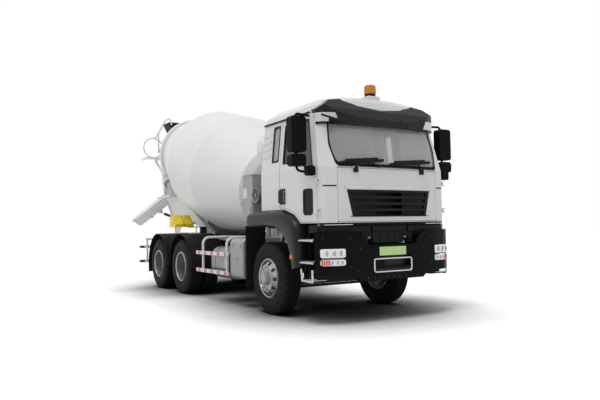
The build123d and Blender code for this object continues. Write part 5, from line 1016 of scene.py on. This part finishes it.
mesh = bmesh.new()
loop_x, loop_half, loop_low, loop_high, loop_corner = bumper_x + 0.004, 0.332, 0.672, 0.850, 0.035
loop_corners = [(-loop_half, loop_low), (loop_half, loop_low),
                (loop_half, loop_high), (-loop_half, loop_high)]
loop_places = [Vector((loop_x, y, z)) for y, z in rounded(loop_corners, loop_corner, 3)]
for here, there in zip(loop_places, loop_places[1:] + loop_places[:1]):
    add_bar(mesh, here, there, 0.0125, 10)
    rod(mesh, (-0.002, 0.002), here.y, here.z, 0.012, 8, start_x=loop_x)
for y in span(0.0, loop_half - 0.06):
    for z in (loop_high, loop_low):
        rod(mesh, (-0.04, 0.0), y, z, 0.010, 8, start_x=loop_x)
close_piece("front_step_loop", mesh, bright_steel, "chassis", 40)
mesh = bmesh.new()
block(mesh, (-0.010, 0.0015), (-0.315, 0.315), (0.690, 0.700), 0.002, 1, bumper_x)
for tooth in range(15):
    block(mesh, (-0.010, 0.001), span(-0.30 + tooth * 0.0429, 0.010), (0.700, 0.716), 0.001, 1, bumper_x)
close_piece("front_step_tread", mesh, cast_metal, "chassis")

mesh = bmesh.new()
for bolt in range(9):
    y = -0.44 + bolt * 0.11
    rod(mesh, (-0.004, 0.007), y, 0.600, 0.011, 8, start_x=bumper_skin(y))
for side in (-1, 1):
    for y, z in ((0.56, 1.000), (0.72, 1.150), (1.10, 1.150), (0.60, 0.700), (0.72, 0.760)):
        rod(mesh, (-0.006, 0.006), y, z, 0.012, 8, side, bumper_skin(y))
close_piece("bumper_bolts", mesh, frame_paint, "chassis")
print("bumper dressed")

# %% [markdown]
# Between the cab's lower edge and the bumper sits a dark footboard on the chassis, with a curved front
# edge. It fills the space that would otherwise show through under the cab, and two slots let the cab's
# hinge arms through when it tilts. It is lofted in three parts with the slots left between them, which is
# simpler than cutting them out. Black sleeves cover the arms, and a skirt closes the cab's edge.

# %% Footboard
slot_near, slot_far = 0.285, 0.355
shelf_stations = ((slot_far, 1.429), (0.600, 1.426), (0.900, 1.412), (1.040, 1.385), (1.130, 1.330))
shelf_parts = (
    [(-y, front) for y, front in reversed(shelf_stations)],
    [(-slot_near, 1.430), (slot_near, 1.430)],
    shelf_stations,
)
mesh = bmesh.new()
for stations in shelf_parts:
    rings = []
    for y, front in stations:
        section = ((1.120, 1.218), (front - 0.010, 1.218), (front, 1.228),
                   (front, 1.300), (front - 0.014, 1.322), (1.120, 1.322))
        rings.append([at(x, y, z) for x, z in section])
    add_loft(mesh, rings)
for ys in ((-0.460, -slot_far), (-slot_near, slot_near), (slot_far, 0.460)):
    block(mesh, (1.385, 1.415), ys, (1.060, 1.250), 0.006)
for rib in range(7):
    block(mesh, (1.414, 1.421), span(-0.39 + rib * 0.13, 0.010), (1.075, 1.220), 0.003)
close_piece("footboard", mesh, dark_plastic, "chassis")
mesh = bmesh.new()
cuff = ((-0.023, 0.034), (0.023, 0.034), (0.023, 0.025), (-0.023, 0.025), (-0.023, 0.034))
for side in (1, -1):
    block(mesh, (1.328, 1.412), (0.296, 0.344), (1.150, 1.345), 0.003, side)
    add_turned(mesh, cuff, (hinge_x, side * 0.320, hinge_z), (0, 1, 0), 28)
close_piece("cab_arm_sleeves", mesh, dark_plastic, "cab")
mesh = bmesh.new()
block(mesh, (-1.125, 1.125), (1.327, 1.384), (0.0, 0.008), start_x=0.0)
bmesh.ops.subdivide_edges(mesh, edges=[edge for edge in mesh.edges if edge.calc_length() > 1], cuts=30)
lay_on_front(mesh, -0.012)
close_piece("cab_skirt", mesh, dark_plastic, "cab", 30)
print("footboard in")

# %% [markdown]
# The black sun visor has white corner inserts. Each insert is a copy of the visor's own skin, cut out
# with planes and lifted by its paint, so it follows the curve exactly.

# %% Visor inserts and front mirror
for side_name, side in sides:
    planes = (
        ((0, side * 0.80, 2.80), (0, -side * 0.90, 0.436)),
        ((0, 0, 2.845), (0, 0, 1)),
        ((0, 0, 2.722), (0, 0, -1)),
        x_plane(1.12, -1),
    )
    close_piece(f"visor_corner_{side_name}", cut_patch("roof_visor", planes, 0.0015), cab_paint, "cab", 30)
make("front_mirror", dark_plastic, "cab", [
    *((rod, (1.36, 1.415), y, 2.80, 0.008, 8) for y in (-0.30, 0.0, 0.30)),
    (add_hose, [at(1.360, -1.050, 2.800), at(1.440, -0.990, 2.760), at(1.470, -0.930, 2.740)], 0.014, 8),
    (block, (1.430, 1.500), (-0.990, -0.760), (2.690, 2.745), 0.016),
], 40)
print("visor inserts and front mirror on")

# %% [markdown]
# The beacon's dome is moulded with upright ribs over a black collar on a white box. Dome and collar are
# turned from a profile. The ribs run upright, which a turned profile can't give, so they are thin bars.

# %% Beacon
beacon_low, beacon_high = (Vector(corner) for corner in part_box("beacon"))
beacon_x = ((beacon_low + beacon_high) / 2).x
base_z, top_z, upright = beacon_low.z, beacon_high.z, (0, 0, 1)
collar = ((0.0, 0.050), (0.0, 0.080), (0.040, 0.080), (0.048, 0.072), (0.048, 0.050))
dome = ((0.0, 0.001), (0.0, 0.082), (0.085, 0.082), (0.118, 0.078), (0.132, 0.064), (0.137, 0.040),
        (0.138, 0.001))
make("beacon_collar", dark_plastic, "cab",
     [(add_turned, collar, (beacon_x, 0, top_z - 0.190), upright, 32)], 40)
make("beacon_box", cab_paint, "cab",
     [(block, (-0.100, 0.100), (-0.105, 0.105), (base_z, base_z + 0.070), 0.012, 1, beacon_x)])
beacon_dome = make("beacon_dome", amber_dome, "cab",
                   [(add_turned, dome, (beacon_x, 0, top_z - 0.142), upright, 36)], 40)
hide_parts("beacon")
mesh = bmesh.new()
for rib in range(18):
    turn = math.tau * rib / 18
    along = Vector((math.cos(turn), math.sin(turn), 0))
    foot = Vector((beacon_x, 0, top_z - 0.138)) + along * 0.083
    head = Vector((beacon_x, 0, top_z - 0.026)) + along * 0.079
    add_bar(mesh, foot, head, 0.0050, 6)
close_piece("beacon_ribs", mesh, amber_dome, "cab", 40)
print("beacon dressed")

# %% [markdown]
# Step treads are pressed aluminium with raised studs for grip. A bump pattern would look flat from the
# side, so the studs are real, and each is a short cone of only a few faces.

# %% Step treads
tread_rows = (
    # z, back x, front x, depth inwards
    (1.118, 0.985, 1.315, 0.310), (0.822, 0.985, 1.315, 0.310), (0.580, 1.050, 1.315, 0.260),
)
step_outer, stud_columns, stud_lines, teeth = 1.205, 7, 5, 12
hanger = ((1.030, 0.735), (1.050, 0.640), (1.066, 0.585), (1.180, 0.578), (1.300, 0.578), (1.310, 0.640),
          (1.312, 0.735))
for side_name, side in sides:
    mesh = bmesh.new()
    for z, back, front, depth in tread_rows:
        for column in range(stud_columns):
            for line in range(stud_lines):
                x = back + (front - back) * (column + 0.5) / stud_columns
                y = step_outer - depth * (line + 0.5) / stud_lines * 0.8
                rod(mesh, x, y, (z + 0.013, z + 0.020), 0.010, 6, side, tip=0.006)
        inner = step_outer - depth * 0.85
        block(mesh, (back, front), (step_outer, inner), (z + 0.008, z + 0.0145), 0.001, side)
        rod(mesh, (back, front), step_outer, z, 0.015, 10, side)
        for tooth in range(teeth):
            x = back + (front - back) * (tooth + 0.5) / teeth
            ys = (step_outer + 0.001, step_outer - 0.006)
            block(mesh, span(x, 0.006), ys, (z - 0.010, z + 0.017), 0, side)
    add_hose(mesh, [at(x, side * step_outer, z) for x, z in hanger], 0.016, 8)
    close_piece(f"tread_studs_{side_name}", mesh, bright_steel, "chassis")
print("treads studded")

# %% [markdown]
# Orange marker lamps sit low on the front fenders' leading ends, and red reflectors run along the side
# guards and the underrun bars. The reflectors are tape on the real truck, so each is a block a few
# millimetres thick, which keeps its edge sharp from every side.

# %% Marker lamps and reflectors
for side_name, side in sides:
    make(f"marker_lamp_{side_name}", orange_lens, "chassis",
         [(block, (0.806, 0.884), (1.232, 1.262), (0.860, 0.924), 0.012, side)])

guard_face_y, guard_start, guard_end = 1.244, -2.700, -1.275
for side_name, side in sides:
    mesh = bmesh.new()
    for z_low, z_high in ((0.825, 0.890), (0.505, 0.570)):
        for square in range(5):
            x = guard_start + 0.10 + square * (guard_end - guard_start - 0.26) / 4
            ys = (guard_face_y, guard_face_y + 0.0025)
            block(mesh, (x, x + 0.105), ys, (z_low + 0.004, z_high - 0.004), 0, side)
    close_piece(f"guard_reflectors_{side_name}", mesh, reflector_red, "chassis")
underrun_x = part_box("guard_frames")[0][0]
mesh = bmesh.new()
for z_low, z_high in ((0.840, 0.905), (0.490, 0.560)):
    for square in range(8):
        y = -1.17 + square * 0.32
        for xs in ((-0.001, 0.003), (0.011, 0.016)):
            block(mesh, xs, (y, y + 0.10), (z_low + 0.005, z_high - 0.005), 0, 1, underrun_x)
close_piece("underrun_reflectors", mesh, reflector_red, "chassis")
print("markers on")

# %% [markdown]
# The front fenders are fat moulded bands with a rounded outer edge. One section swept along a curve would
# keep its width, and these bands change theirs, so each is lofted: at every station a section runs from
# the outer line to the inner line and bulges outwards. The wheelhouse behind it is a copy of the CAD's
# liner, and a rubber flap hangs at its rear end.

# %% Front fenders
fender_stations = (
    # outer line x, z, inner line x, z, all from the front axle
    (-0.530, 1.490, -0.530, 1.325), (-0.520, 1.525, -0.520, 1.300), (-0.470, 1.537, -0.470, 1.292),
    (-0.400, 1.540, -0.400, 1.300), (0.000, 1.541, 0.000, 1.318), (0.440, 1.540, 0.330, 1.288),
    (0.600, 1.500, 0.450, 1.237), (0.760, 1.452, 0.545, 1.180), (0.860, 1.385, 0.620, 1.105),
    (0.930, 1.318, 0.690, 1.020), (0.968, 1.200, 0.735, 0.925), (0.998, 1.085, 0.775, 0.835),
    (1.004, 0.900, 0.795, 0.765), (1.006, 0.760, 0.806, 0.715),
)
fender_section = (
    # share of the way from outer to inner line, distance from the truck's middle
    (0.0, 1.020), (0.0, 1.165), (0.06, 1.215), (0.17, 1.242), (0.34, 1.2495), (0.66, 1.2495), (0.84, 1.240),
    (0.94, 1.215), (1.0, 1.170), (1.0, 1.020),
)
for side_name, side in sides:
    rings = [[
        at(out_x + (in_x - out_x) * share, side * y, out_z + (in_z - out_z) * share)
        for share, y in fender_section
    ] for out_x, out_z, in_x, in_z in fender_stations]
    band = make(f"fender_band_{side_name}", fender_plastic, "chassis", [(add_loft, rings)], 40)
    planes = (((0, side * 1.12, 0), (0, side, 0)), ((0, 0, 0), (0, -side, 0)), x_plane(-0.53, -1))
    liner_mesh = cut_patch("front_fenders", planes, fill=True)
    liner = close_piece(f"wheelhouse_{side_name}", liner_mesh, dark_plastic, "chassis", 30)
    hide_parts("front_fenders")
    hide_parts("front_fenders")
    make(f"front_flap_{side_name}", tyre_rubber, "chassis", [
        (block, (-0.606, -0.594), (0.880, 1.235), (0.350, 1.330), 0.003, side),
        (block, (-0.630, -0.606), (0.43, 1.10), (0.970, 1.010), 0.003, side),
        *((rod, (-0.610, -0.590), y, 0.990, 0.011, 8, side) for y in (0.93, 1.02, 1.11, 1.20)),
    ])
print("fenders lofted")

# %% [markdown]
# Behind the cab, on the right, stand the mixer's control cabinet with a blank white plate in a thin
# orange frame, and the oil cooler with its round fan. Steel pipes run from the motor to both. Doors and
# plates are thin blocks on the CAD's own boxes, so that the seams between them are real gaps.

# %% Control cabinet and oil cooler
make("cabinet_plate_frame", plate_orange, "chassis",
     [(block, (-1.462, -1.285), (-0.8535, -0.8485), (1.800, 1.990), 0.001)])
make("cabinet_plate", plate_white, "chassis",
     [(block, (-1.452, -1.295), (-0.856, -0.852), (1.812, 1.978), 0.001)])
make("cabinet_door", box_grey, "chassis", [
    (block, (-1.455, -1.125), (-0.862, -0.848), (1.420, 1.775), 0.006),
    (rod, -1.458, -0.860, span(1.47, 0.025), 0.010),
    (rod, -1.458, -0.860, span(1.72, 0.025), 0.010),
    (block, (-1.165, -1.145), (-0.874, -0.860), (1.575, 1.640), 0.003),
    (block, (-1.475, -1.105), (-0.855, -0.585), (2.196, 2.212), 0.004),
])

mesh = bmesh.new()
fan_x, fan_z, blade_y, blade_reach = -0.990, 1.850, -0.806, 0.100
fan_centre = at(fan_x, -0.800, fan_z)
shroud = ((-0.055, 0.105), (-0.055, 0.132), (0.055, 0.132), (0.055, 0.120), (0.030, 0.112), (0.030, 0.105),
          (-0.055, 0.105))
add_turned(mesh, outward(shroud, -1), fan_centre, (0, 1, 0), 32)
for ring in (0.035, 0.060, 0.085, 0.108):
    inner, outer = span(ring, 0.0025)
    wire = ((-0.058, inner), (-0.058, outer), (-0.053, outer), (-0.053, inner), (-0.058, inner))
    add_turned(mesh, wire, fan_centre, (0, 1, 0), 28)
rod(mesh, fan_x, (-0.850, -0.760), fan_z, 0.034, 16)
for blade in range(7):
    turn = math.tau * blade / 7
    tip_place = at(fan_x + blade_reach * math.cos(turn), blade_y, fan_z + blade_reach * math.sin(turn))
    add_bar(mesh, at(fan_x, blade_y, fan_z), tip_place, 0.006, 6, 0.020)
block(mesh, (-1.130, -0.850), (-0.745, -0.640), (1.700, 2.000), 0.008)
for fin in range(13):
    z = 1.715 + fin * 0.0225
    block(mesh, (-1.126, -0.854), (-0.760, -0.742), (z, z + 0.006))
block(mesh, (-1.020, -0.960), (-0.645, -0.600), (1.300, 1.720), 0.004)
block(mesh, (-1.020, -0.960), (-0.645, -0.340), (1.280, 1.330), 0.004)
close_piece("oil_cooler", mesh, tank_metal, "chassis", 40)

pipe_rows = (
    ((-0.800, -0.080, 2.010), (-0.780, -0.300, 2.090), (-0.860, -0.560, 2.060), (-0.950, -0.690, 1.990)),
    ((-0.800, -0.120, 1.880), (-0.760, -0.340, 1.880), (-0.860, -0.600, 1.640), (-0.990, -0.700, 1.710)),
    ((-0.760, 0.050, 1.800), (-0.720, -0.200, 1.600), (-0.760, -0.400, 1.300), (-0.800, -0.440, 1.080)),
    ((-0.850, -0.640, 1.760), (-0.760, -0.560, 1.500), (-0.720, -0.470, 1.250), (-0.760, -0.440, 1.060)),
)
mesh = bmesh.new()
for row in pipe_rows:
    add_hose(mesh, [at(*place) for place in row], 0.017, 10)
    for x, y, z in (row[0], row[-1]):
        rod(mesh, x, y, span(z, 0.020), 0.024, 6)
close_piece("hydraulic_pipes", mesh, cast_metal, "chassis", 40)
print("cabinet and cooler dressed")

# %% [markdown]
# The fuel tank is ribbed aluminium with a filler cap. A rib could be scaled from the tank's outline, but
# that would stand it off unevenly, so its outline is drawn again with a larger corner. The wheel chocks
# take yellow skins that are copied from the CAD's. The grey box has a door, latches and a grab handle.

# %% Tanks and boxes
tank_mid_y, tank_mid_z = -0.820, 0.690
tank_half_y, tank_half_z, tank_corner = 0.310, 0.280, 0.190


def tank_outline(proud):
    """The tank's rounded section, grown by proud, as (y, z) points."""
    points = []
    reach = tank_corner + proud
    for y_side, z_side, first in ((1, 1, 0), (-1, 1, 90), (-1, -1, 180), (1, -1, 270)):
        for step in range(7):
            angle = math.radians(first + step * 15)
            y = tank_mid_y + y_side * (tank_half_y - tank_corner) + reach * math.cos(angle)
            z = tank_mid_z + z_side * (tank_half_z - tank_corner) + reach * math.sin(angle)
            points.append((y, z))
    return points


mesh = bmesh.new()
rib_levels = ((-0.014, -0.004), (-0.009, 0.004), (0.009, 0.004), (0.014, -0.004))
for rib in range(8):
    rib_x = -2.185 + rib * 0.0935
    add_loft(mesh, [[at(rib_x + shift, y, z) for y, z in tank_outline(proud)] for shift, proud in rib_levels])
rod(mesh, -1.640, -0.860, (0.960, 1.005), 0.052, 20)
rod(mesh, -1.640, -0.860, (1.000, 1.022), 0.062, 12)
close_piece("tank_ribs", mesh, tank_metal, "chassis", 35)

mesh = cut_patch("wheel_chocks", (((0, 0, 1.338), (0, 0, -1)),), 0.0012)
close_piece("chock_skins", mesh, chock_yellow, "chassis", 30)

box_face = -1.205
grab_y, grab_z, grab_ends = box_face - 0.026, 0.80, (-1.06, -0.93)
make("side_box_door", box_grey, "chassis", [
    (block, (-1.215, -0.775), (box_face - 0.006, box_face + 0.004), (0.560, 1.020), 0.005),
    *((block, span(x, 0.020), (box_face - 0.018, box_face - 0.004), (0.985, 1.035), 0.004)
      for x in (-1.13, -0.86)),
    (rod, grab_ends, grab_y, grab_z, 0.008, 8),
    *((rod, x, (grab_y - 0.002, box_face + 0.004), grab_z, 0.008, 8) for x in grab_ends),
])

mesh = bmesh.new()
for side in (-1, 1):
    for station in range(14):
        for z in (0.86, 0.96):
            rod(mesh, -5.9 + station * 0.45, (0.428, 0.441), z, 0.012, 6, side)
    for station in range(9):
        rod(mesh, -5.6 + station * 0.60, (0.436, 0.448), 1.040, 0.014, 6, side)
close_piece("frame_bolts", mesh, cast_metal, "chassis")
print("tank ribbed, box and frame dressed")

# %% [markdown]
# Tail lamps are one housing with three lenses: red, orange and clear. A blank white plate hangs
# between the tail lamps on two straps. Each colour is a thin block over the dark housing, because one
# lens painted in three colours would have no joints.

# %% Rear end
tail_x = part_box("tail_lamps")[0][0]
lens_rows = (
    # name, finish, inner and outer y
    ("stop", red_lens, 0.535, 0.650),
    ("turn", orange_lens, 0.655, 0.770),
    ("reverse", lamp_glass, 0.775, 0.885),
)
for lens_name, lens_finish, y_in, y_out in lens_rows:
    make(f"tail_lens_{lens_name}", lens_finish, "chassis",
         [(block, (-0.004, 0.004), (y_in, y_out), (0.658, 0.752), 0.002, side, tail_x) for side in (-1, 1)])
make("rear_plate", plate_white, "chassis",
     [(block, (0.002, 0.008), (-0.235, 0.235), (0.640, 0.765), 0.002, 1, tail_x)])
make("plate_straps", frame_paint, "chassis",
     [(block, (0.006, 0.016), (0.20, 0.23), (0.550, 0.850), 0.002, side, tail_x) for side in (-1, 1)])
print("rear end dressed")

# %% [markdown]
# Inside the cab are two seats, each of three padded pieces. A cloth simulation could puff them up, but
# they show only as dark shapes behind the glass, so each is a crowned closed form whose sides pull in
# between its corners, with sewn channels pressed into its face.


# %% Seats
def padded_block(name, low, high, crown, face, channels, lean):
    """A cushion between two corners. face is 0 for a back that faces +X and 2 for a seat that faces +Z."""
    mesh = bmesh.new()
    bmesh.ops.create_cube(mesh, size=2)
    bmesh.ops.subdivide_edges(mesh, edges=mesh.edges[:], cuts=9, use_grid_fill=True)
    centre, half = (low + high) / 2, (high - low) / 2
    others = [axis for axis in range(3) if axis != face]
    for vert in mesh.verts:
        unit = vert.co.copy()
        a, b = unit[others[0]], unit[others[1]]
        soft = 1 - 0.16 * abs(unit.x * unit.y * unit.z) - 0.05 * abs(a * b)
        place = Vector((unit.x * half.x, unit.y * half.y, unit.z * half.z)) * soft
        if unit[face] > -0.99:
            place[face] += crown * (1 - a * a) * (1 - b * b) * (unit[face] + 1) / 2
        for axis, along in ((others[0], b), (others[1], a)):
            place[axis] *= 1 - 0.035 * (1 - along * along)
        if unit[face] > 0.99:
            for channel in range(channels):
                line = -0.45 + channel * 0.9 / max(channels - 1, 1)
                place[face] -= 0.012 * math.exp(-((unit.y - line) / 0.09) ** 2)
        vert.co = centre + place
        vert.co.x += lean * (vert.co.z - low[2])
    for face_of in mesh.faces:
        face_of.smooth = True
    piece = close_piece(name, mesh, cab_fabric, "cab")
    return piece


floor_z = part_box("cab_interior")[1][2] - 1.080
seat_places = (("driver", 0.62), ("mate", -0.62))
cushions = (
    # name, x pair, half width, z pair above the cab's floor, crown, face, channels, lean
    ("seat", (0.165, 0.640), 0.235, (0.215, 0.315), 0.022, 2, 2, 0.0),
    ("seat_back", (0.085, 0.200), 0.225, (0.335, 0.905), 0.018, 0, 2, -0.115),
    ("head_rest", (0.030, 0.108), 0.125, (0.925, 1.072), 0.012, 0, 0, 0.0),
)
for seat_name, seat_y in seat_places:
    for name, xs, half_width, zs, crown, face, channels, lean in cushions:
        low, high = (at(x, y, floor_z + z) for x, y, z in zip(xs, span(seat_y, half_width), zs))
        piece = padded_block(f"{name}_{seat_name}", low, high, crown, face, channels, lean)
        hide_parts("cab_interior")
print("seats in", len(seat_places))

# %% [markdown]
# The seats stand on plain frames. The dashboard is a moulded hump across the cab, lofted from one
# rounded section, with hoods and vents on it. The steering wheel is a ring turned round its own tilted
# axis, with three spokes and a column, so that it needs no turned object.

# %% Seat frames, dashboard and steering wheel
mesh = bmesh.new()
for _, seat_y in seat_places:
    block(mesh, (0.170, 0.630), span(seat_y, 0.225), (floor_z, floor_z + 0.190), 0.020)
    block(mesh, (0.150, 0.610), span(seat_y, 0.200), (floor_z + 0.185, floor_z + 0.222), 0.008)
    for post_y in span(seat_y, 0.07):
        add_bar(mesh, at(0.066, post_y, floor_z + 0.880), at(0.070, post_y, floor_z + 0.960), 0.007, 8)
dash_outline = (
    (1.040, 1.700), (1.330, 1.600), (1.330, 2.080), (1.150, 2.115), (1.065, 2.075), (1.030, 2.010),
)
dash_section = rounded(dash_outline, 0.04, 3)
add_loft(mesh, [[at(x, y, z) for x, z in dash_section] for y in (-1.02, -0.5, 0.0, 0.5, 1.02)])
block(mesh, (1.100, 1.325), (-0.900, 0.900), (1.410, 1.720), 0.020)
block(mesh, (0.990, 1.120), (0.350, 0.890), (2.010, 2.150), 0.030)
hoods = (((-0.86, 0.88), 2.185), ((-0.70, -0.34), 2.215), ((0.10, 0.34), 2.205), ((0.40, 0.80), 2.235))
for hood_ys, hood_top in hoods:
    block(mesh, (1.150, 1.265), hood_ys, (2.050, hood_top), 0.014)
for vent_y in (-0.85, -0.30, 0.15, 0.95):
    block(mesh, (1.022, 1.040), span(vent_y, 0.07), (1.930, 1.995), 0.008)

wheel_tilt, wheel_radius, wheel_thick = math.radians(35), 0.219, 0.014
wheel_centre = at(0.850, 0.620, 2.130)
wheel_way = Vector((-math.sin(wheel_tilt), 0, math.cos(wheel_tilt)))
hub_back = wheel_centre - wheel_way * 0.020
turns = [math.tau * k / 10 for k in range(11)]
rim_section = [(wheel_thick * math.cos(turn), wheel_radius + wheel_thick * math.sin(turn)) for turn in turns]
add_turned(mesh, rim_section, wheel_centre, wheel_way, 40)
add_bar(mesh, wheel_centre - wheel_way * 0.040, wheel_centre - wheel_way * 0.006, 0.062, 24)
for spoke_turn in (20, 160, 270):
    angle = math.radians(spoke_turn)
    across = Vector((0, 1, 0)) * math.cos(angle) + wheel_way.cross(Vector((0, 1, 0))) * math.sin(angle)
    add_bar(mesh, hub_back, wheel_centre + across * 0.216, 0.013, 8)
add_bar(mesh, hub_back, at(1.100, 0.620, 1.850), 0.030, 16)
fittings = close_piece("cab_fittings", mesh, dark_plastic, "cab", 35)
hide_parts("cab_interior")
print("cab furnished")

# %% [markdown]
# A black sheet stands on the middle of the frame under the drum as painted shade: it darkens the shadowed
# gap below the drum's belly, where the white floor would show through. Its upper edge follows the drum's
# belly 35 mm below it. The belly could be worked out from the drum's cones, but rays cast up at the drum's
# own mesh find it without knowing them.

# %% Shade sheet under the drum
drum = nodes["drum"]
to_drum = drum.matrix_world.inverted()
shade_sheet_gap, shade_sheet_low = 0.035, 1.020
shade_sheet_half = 0.006
shade_sheet_rings = []
for station in range(25):
    x = axle_x - 5.10 + station * 0.115
    found, place, _, _ = drum.ray_cast(to_drum @ Vector((x, 0.0, 0.60)), to_drum.to_3x3() @ Vector((0, 0, 1)))
    belly = (drum.matrix_world @ place).z - shade_sheet_gap if found else 0.0
    if belly > shade_sheet_low + 0.02:
        right, left = -shade_sheet_half, shade_sheet_half
        section = ((right, shade_sheet_low), (left, shade_sheet_low), (left, belly), (right, belly))
        shade_sheet_rings.append([(x, y, z) for y, z in section])
# The black sheet is painted shade that fills the shadowed gap under the drum's belly.
make("drum_shade_sheet", frame_paint, "chassis", [(add_loft, shade_sheet_rings)])
print("curtain stations", len(shade_sheet_rings), "belly", [round(ring[2][2], 2) for ring in shade_sheet_rings[::6]])
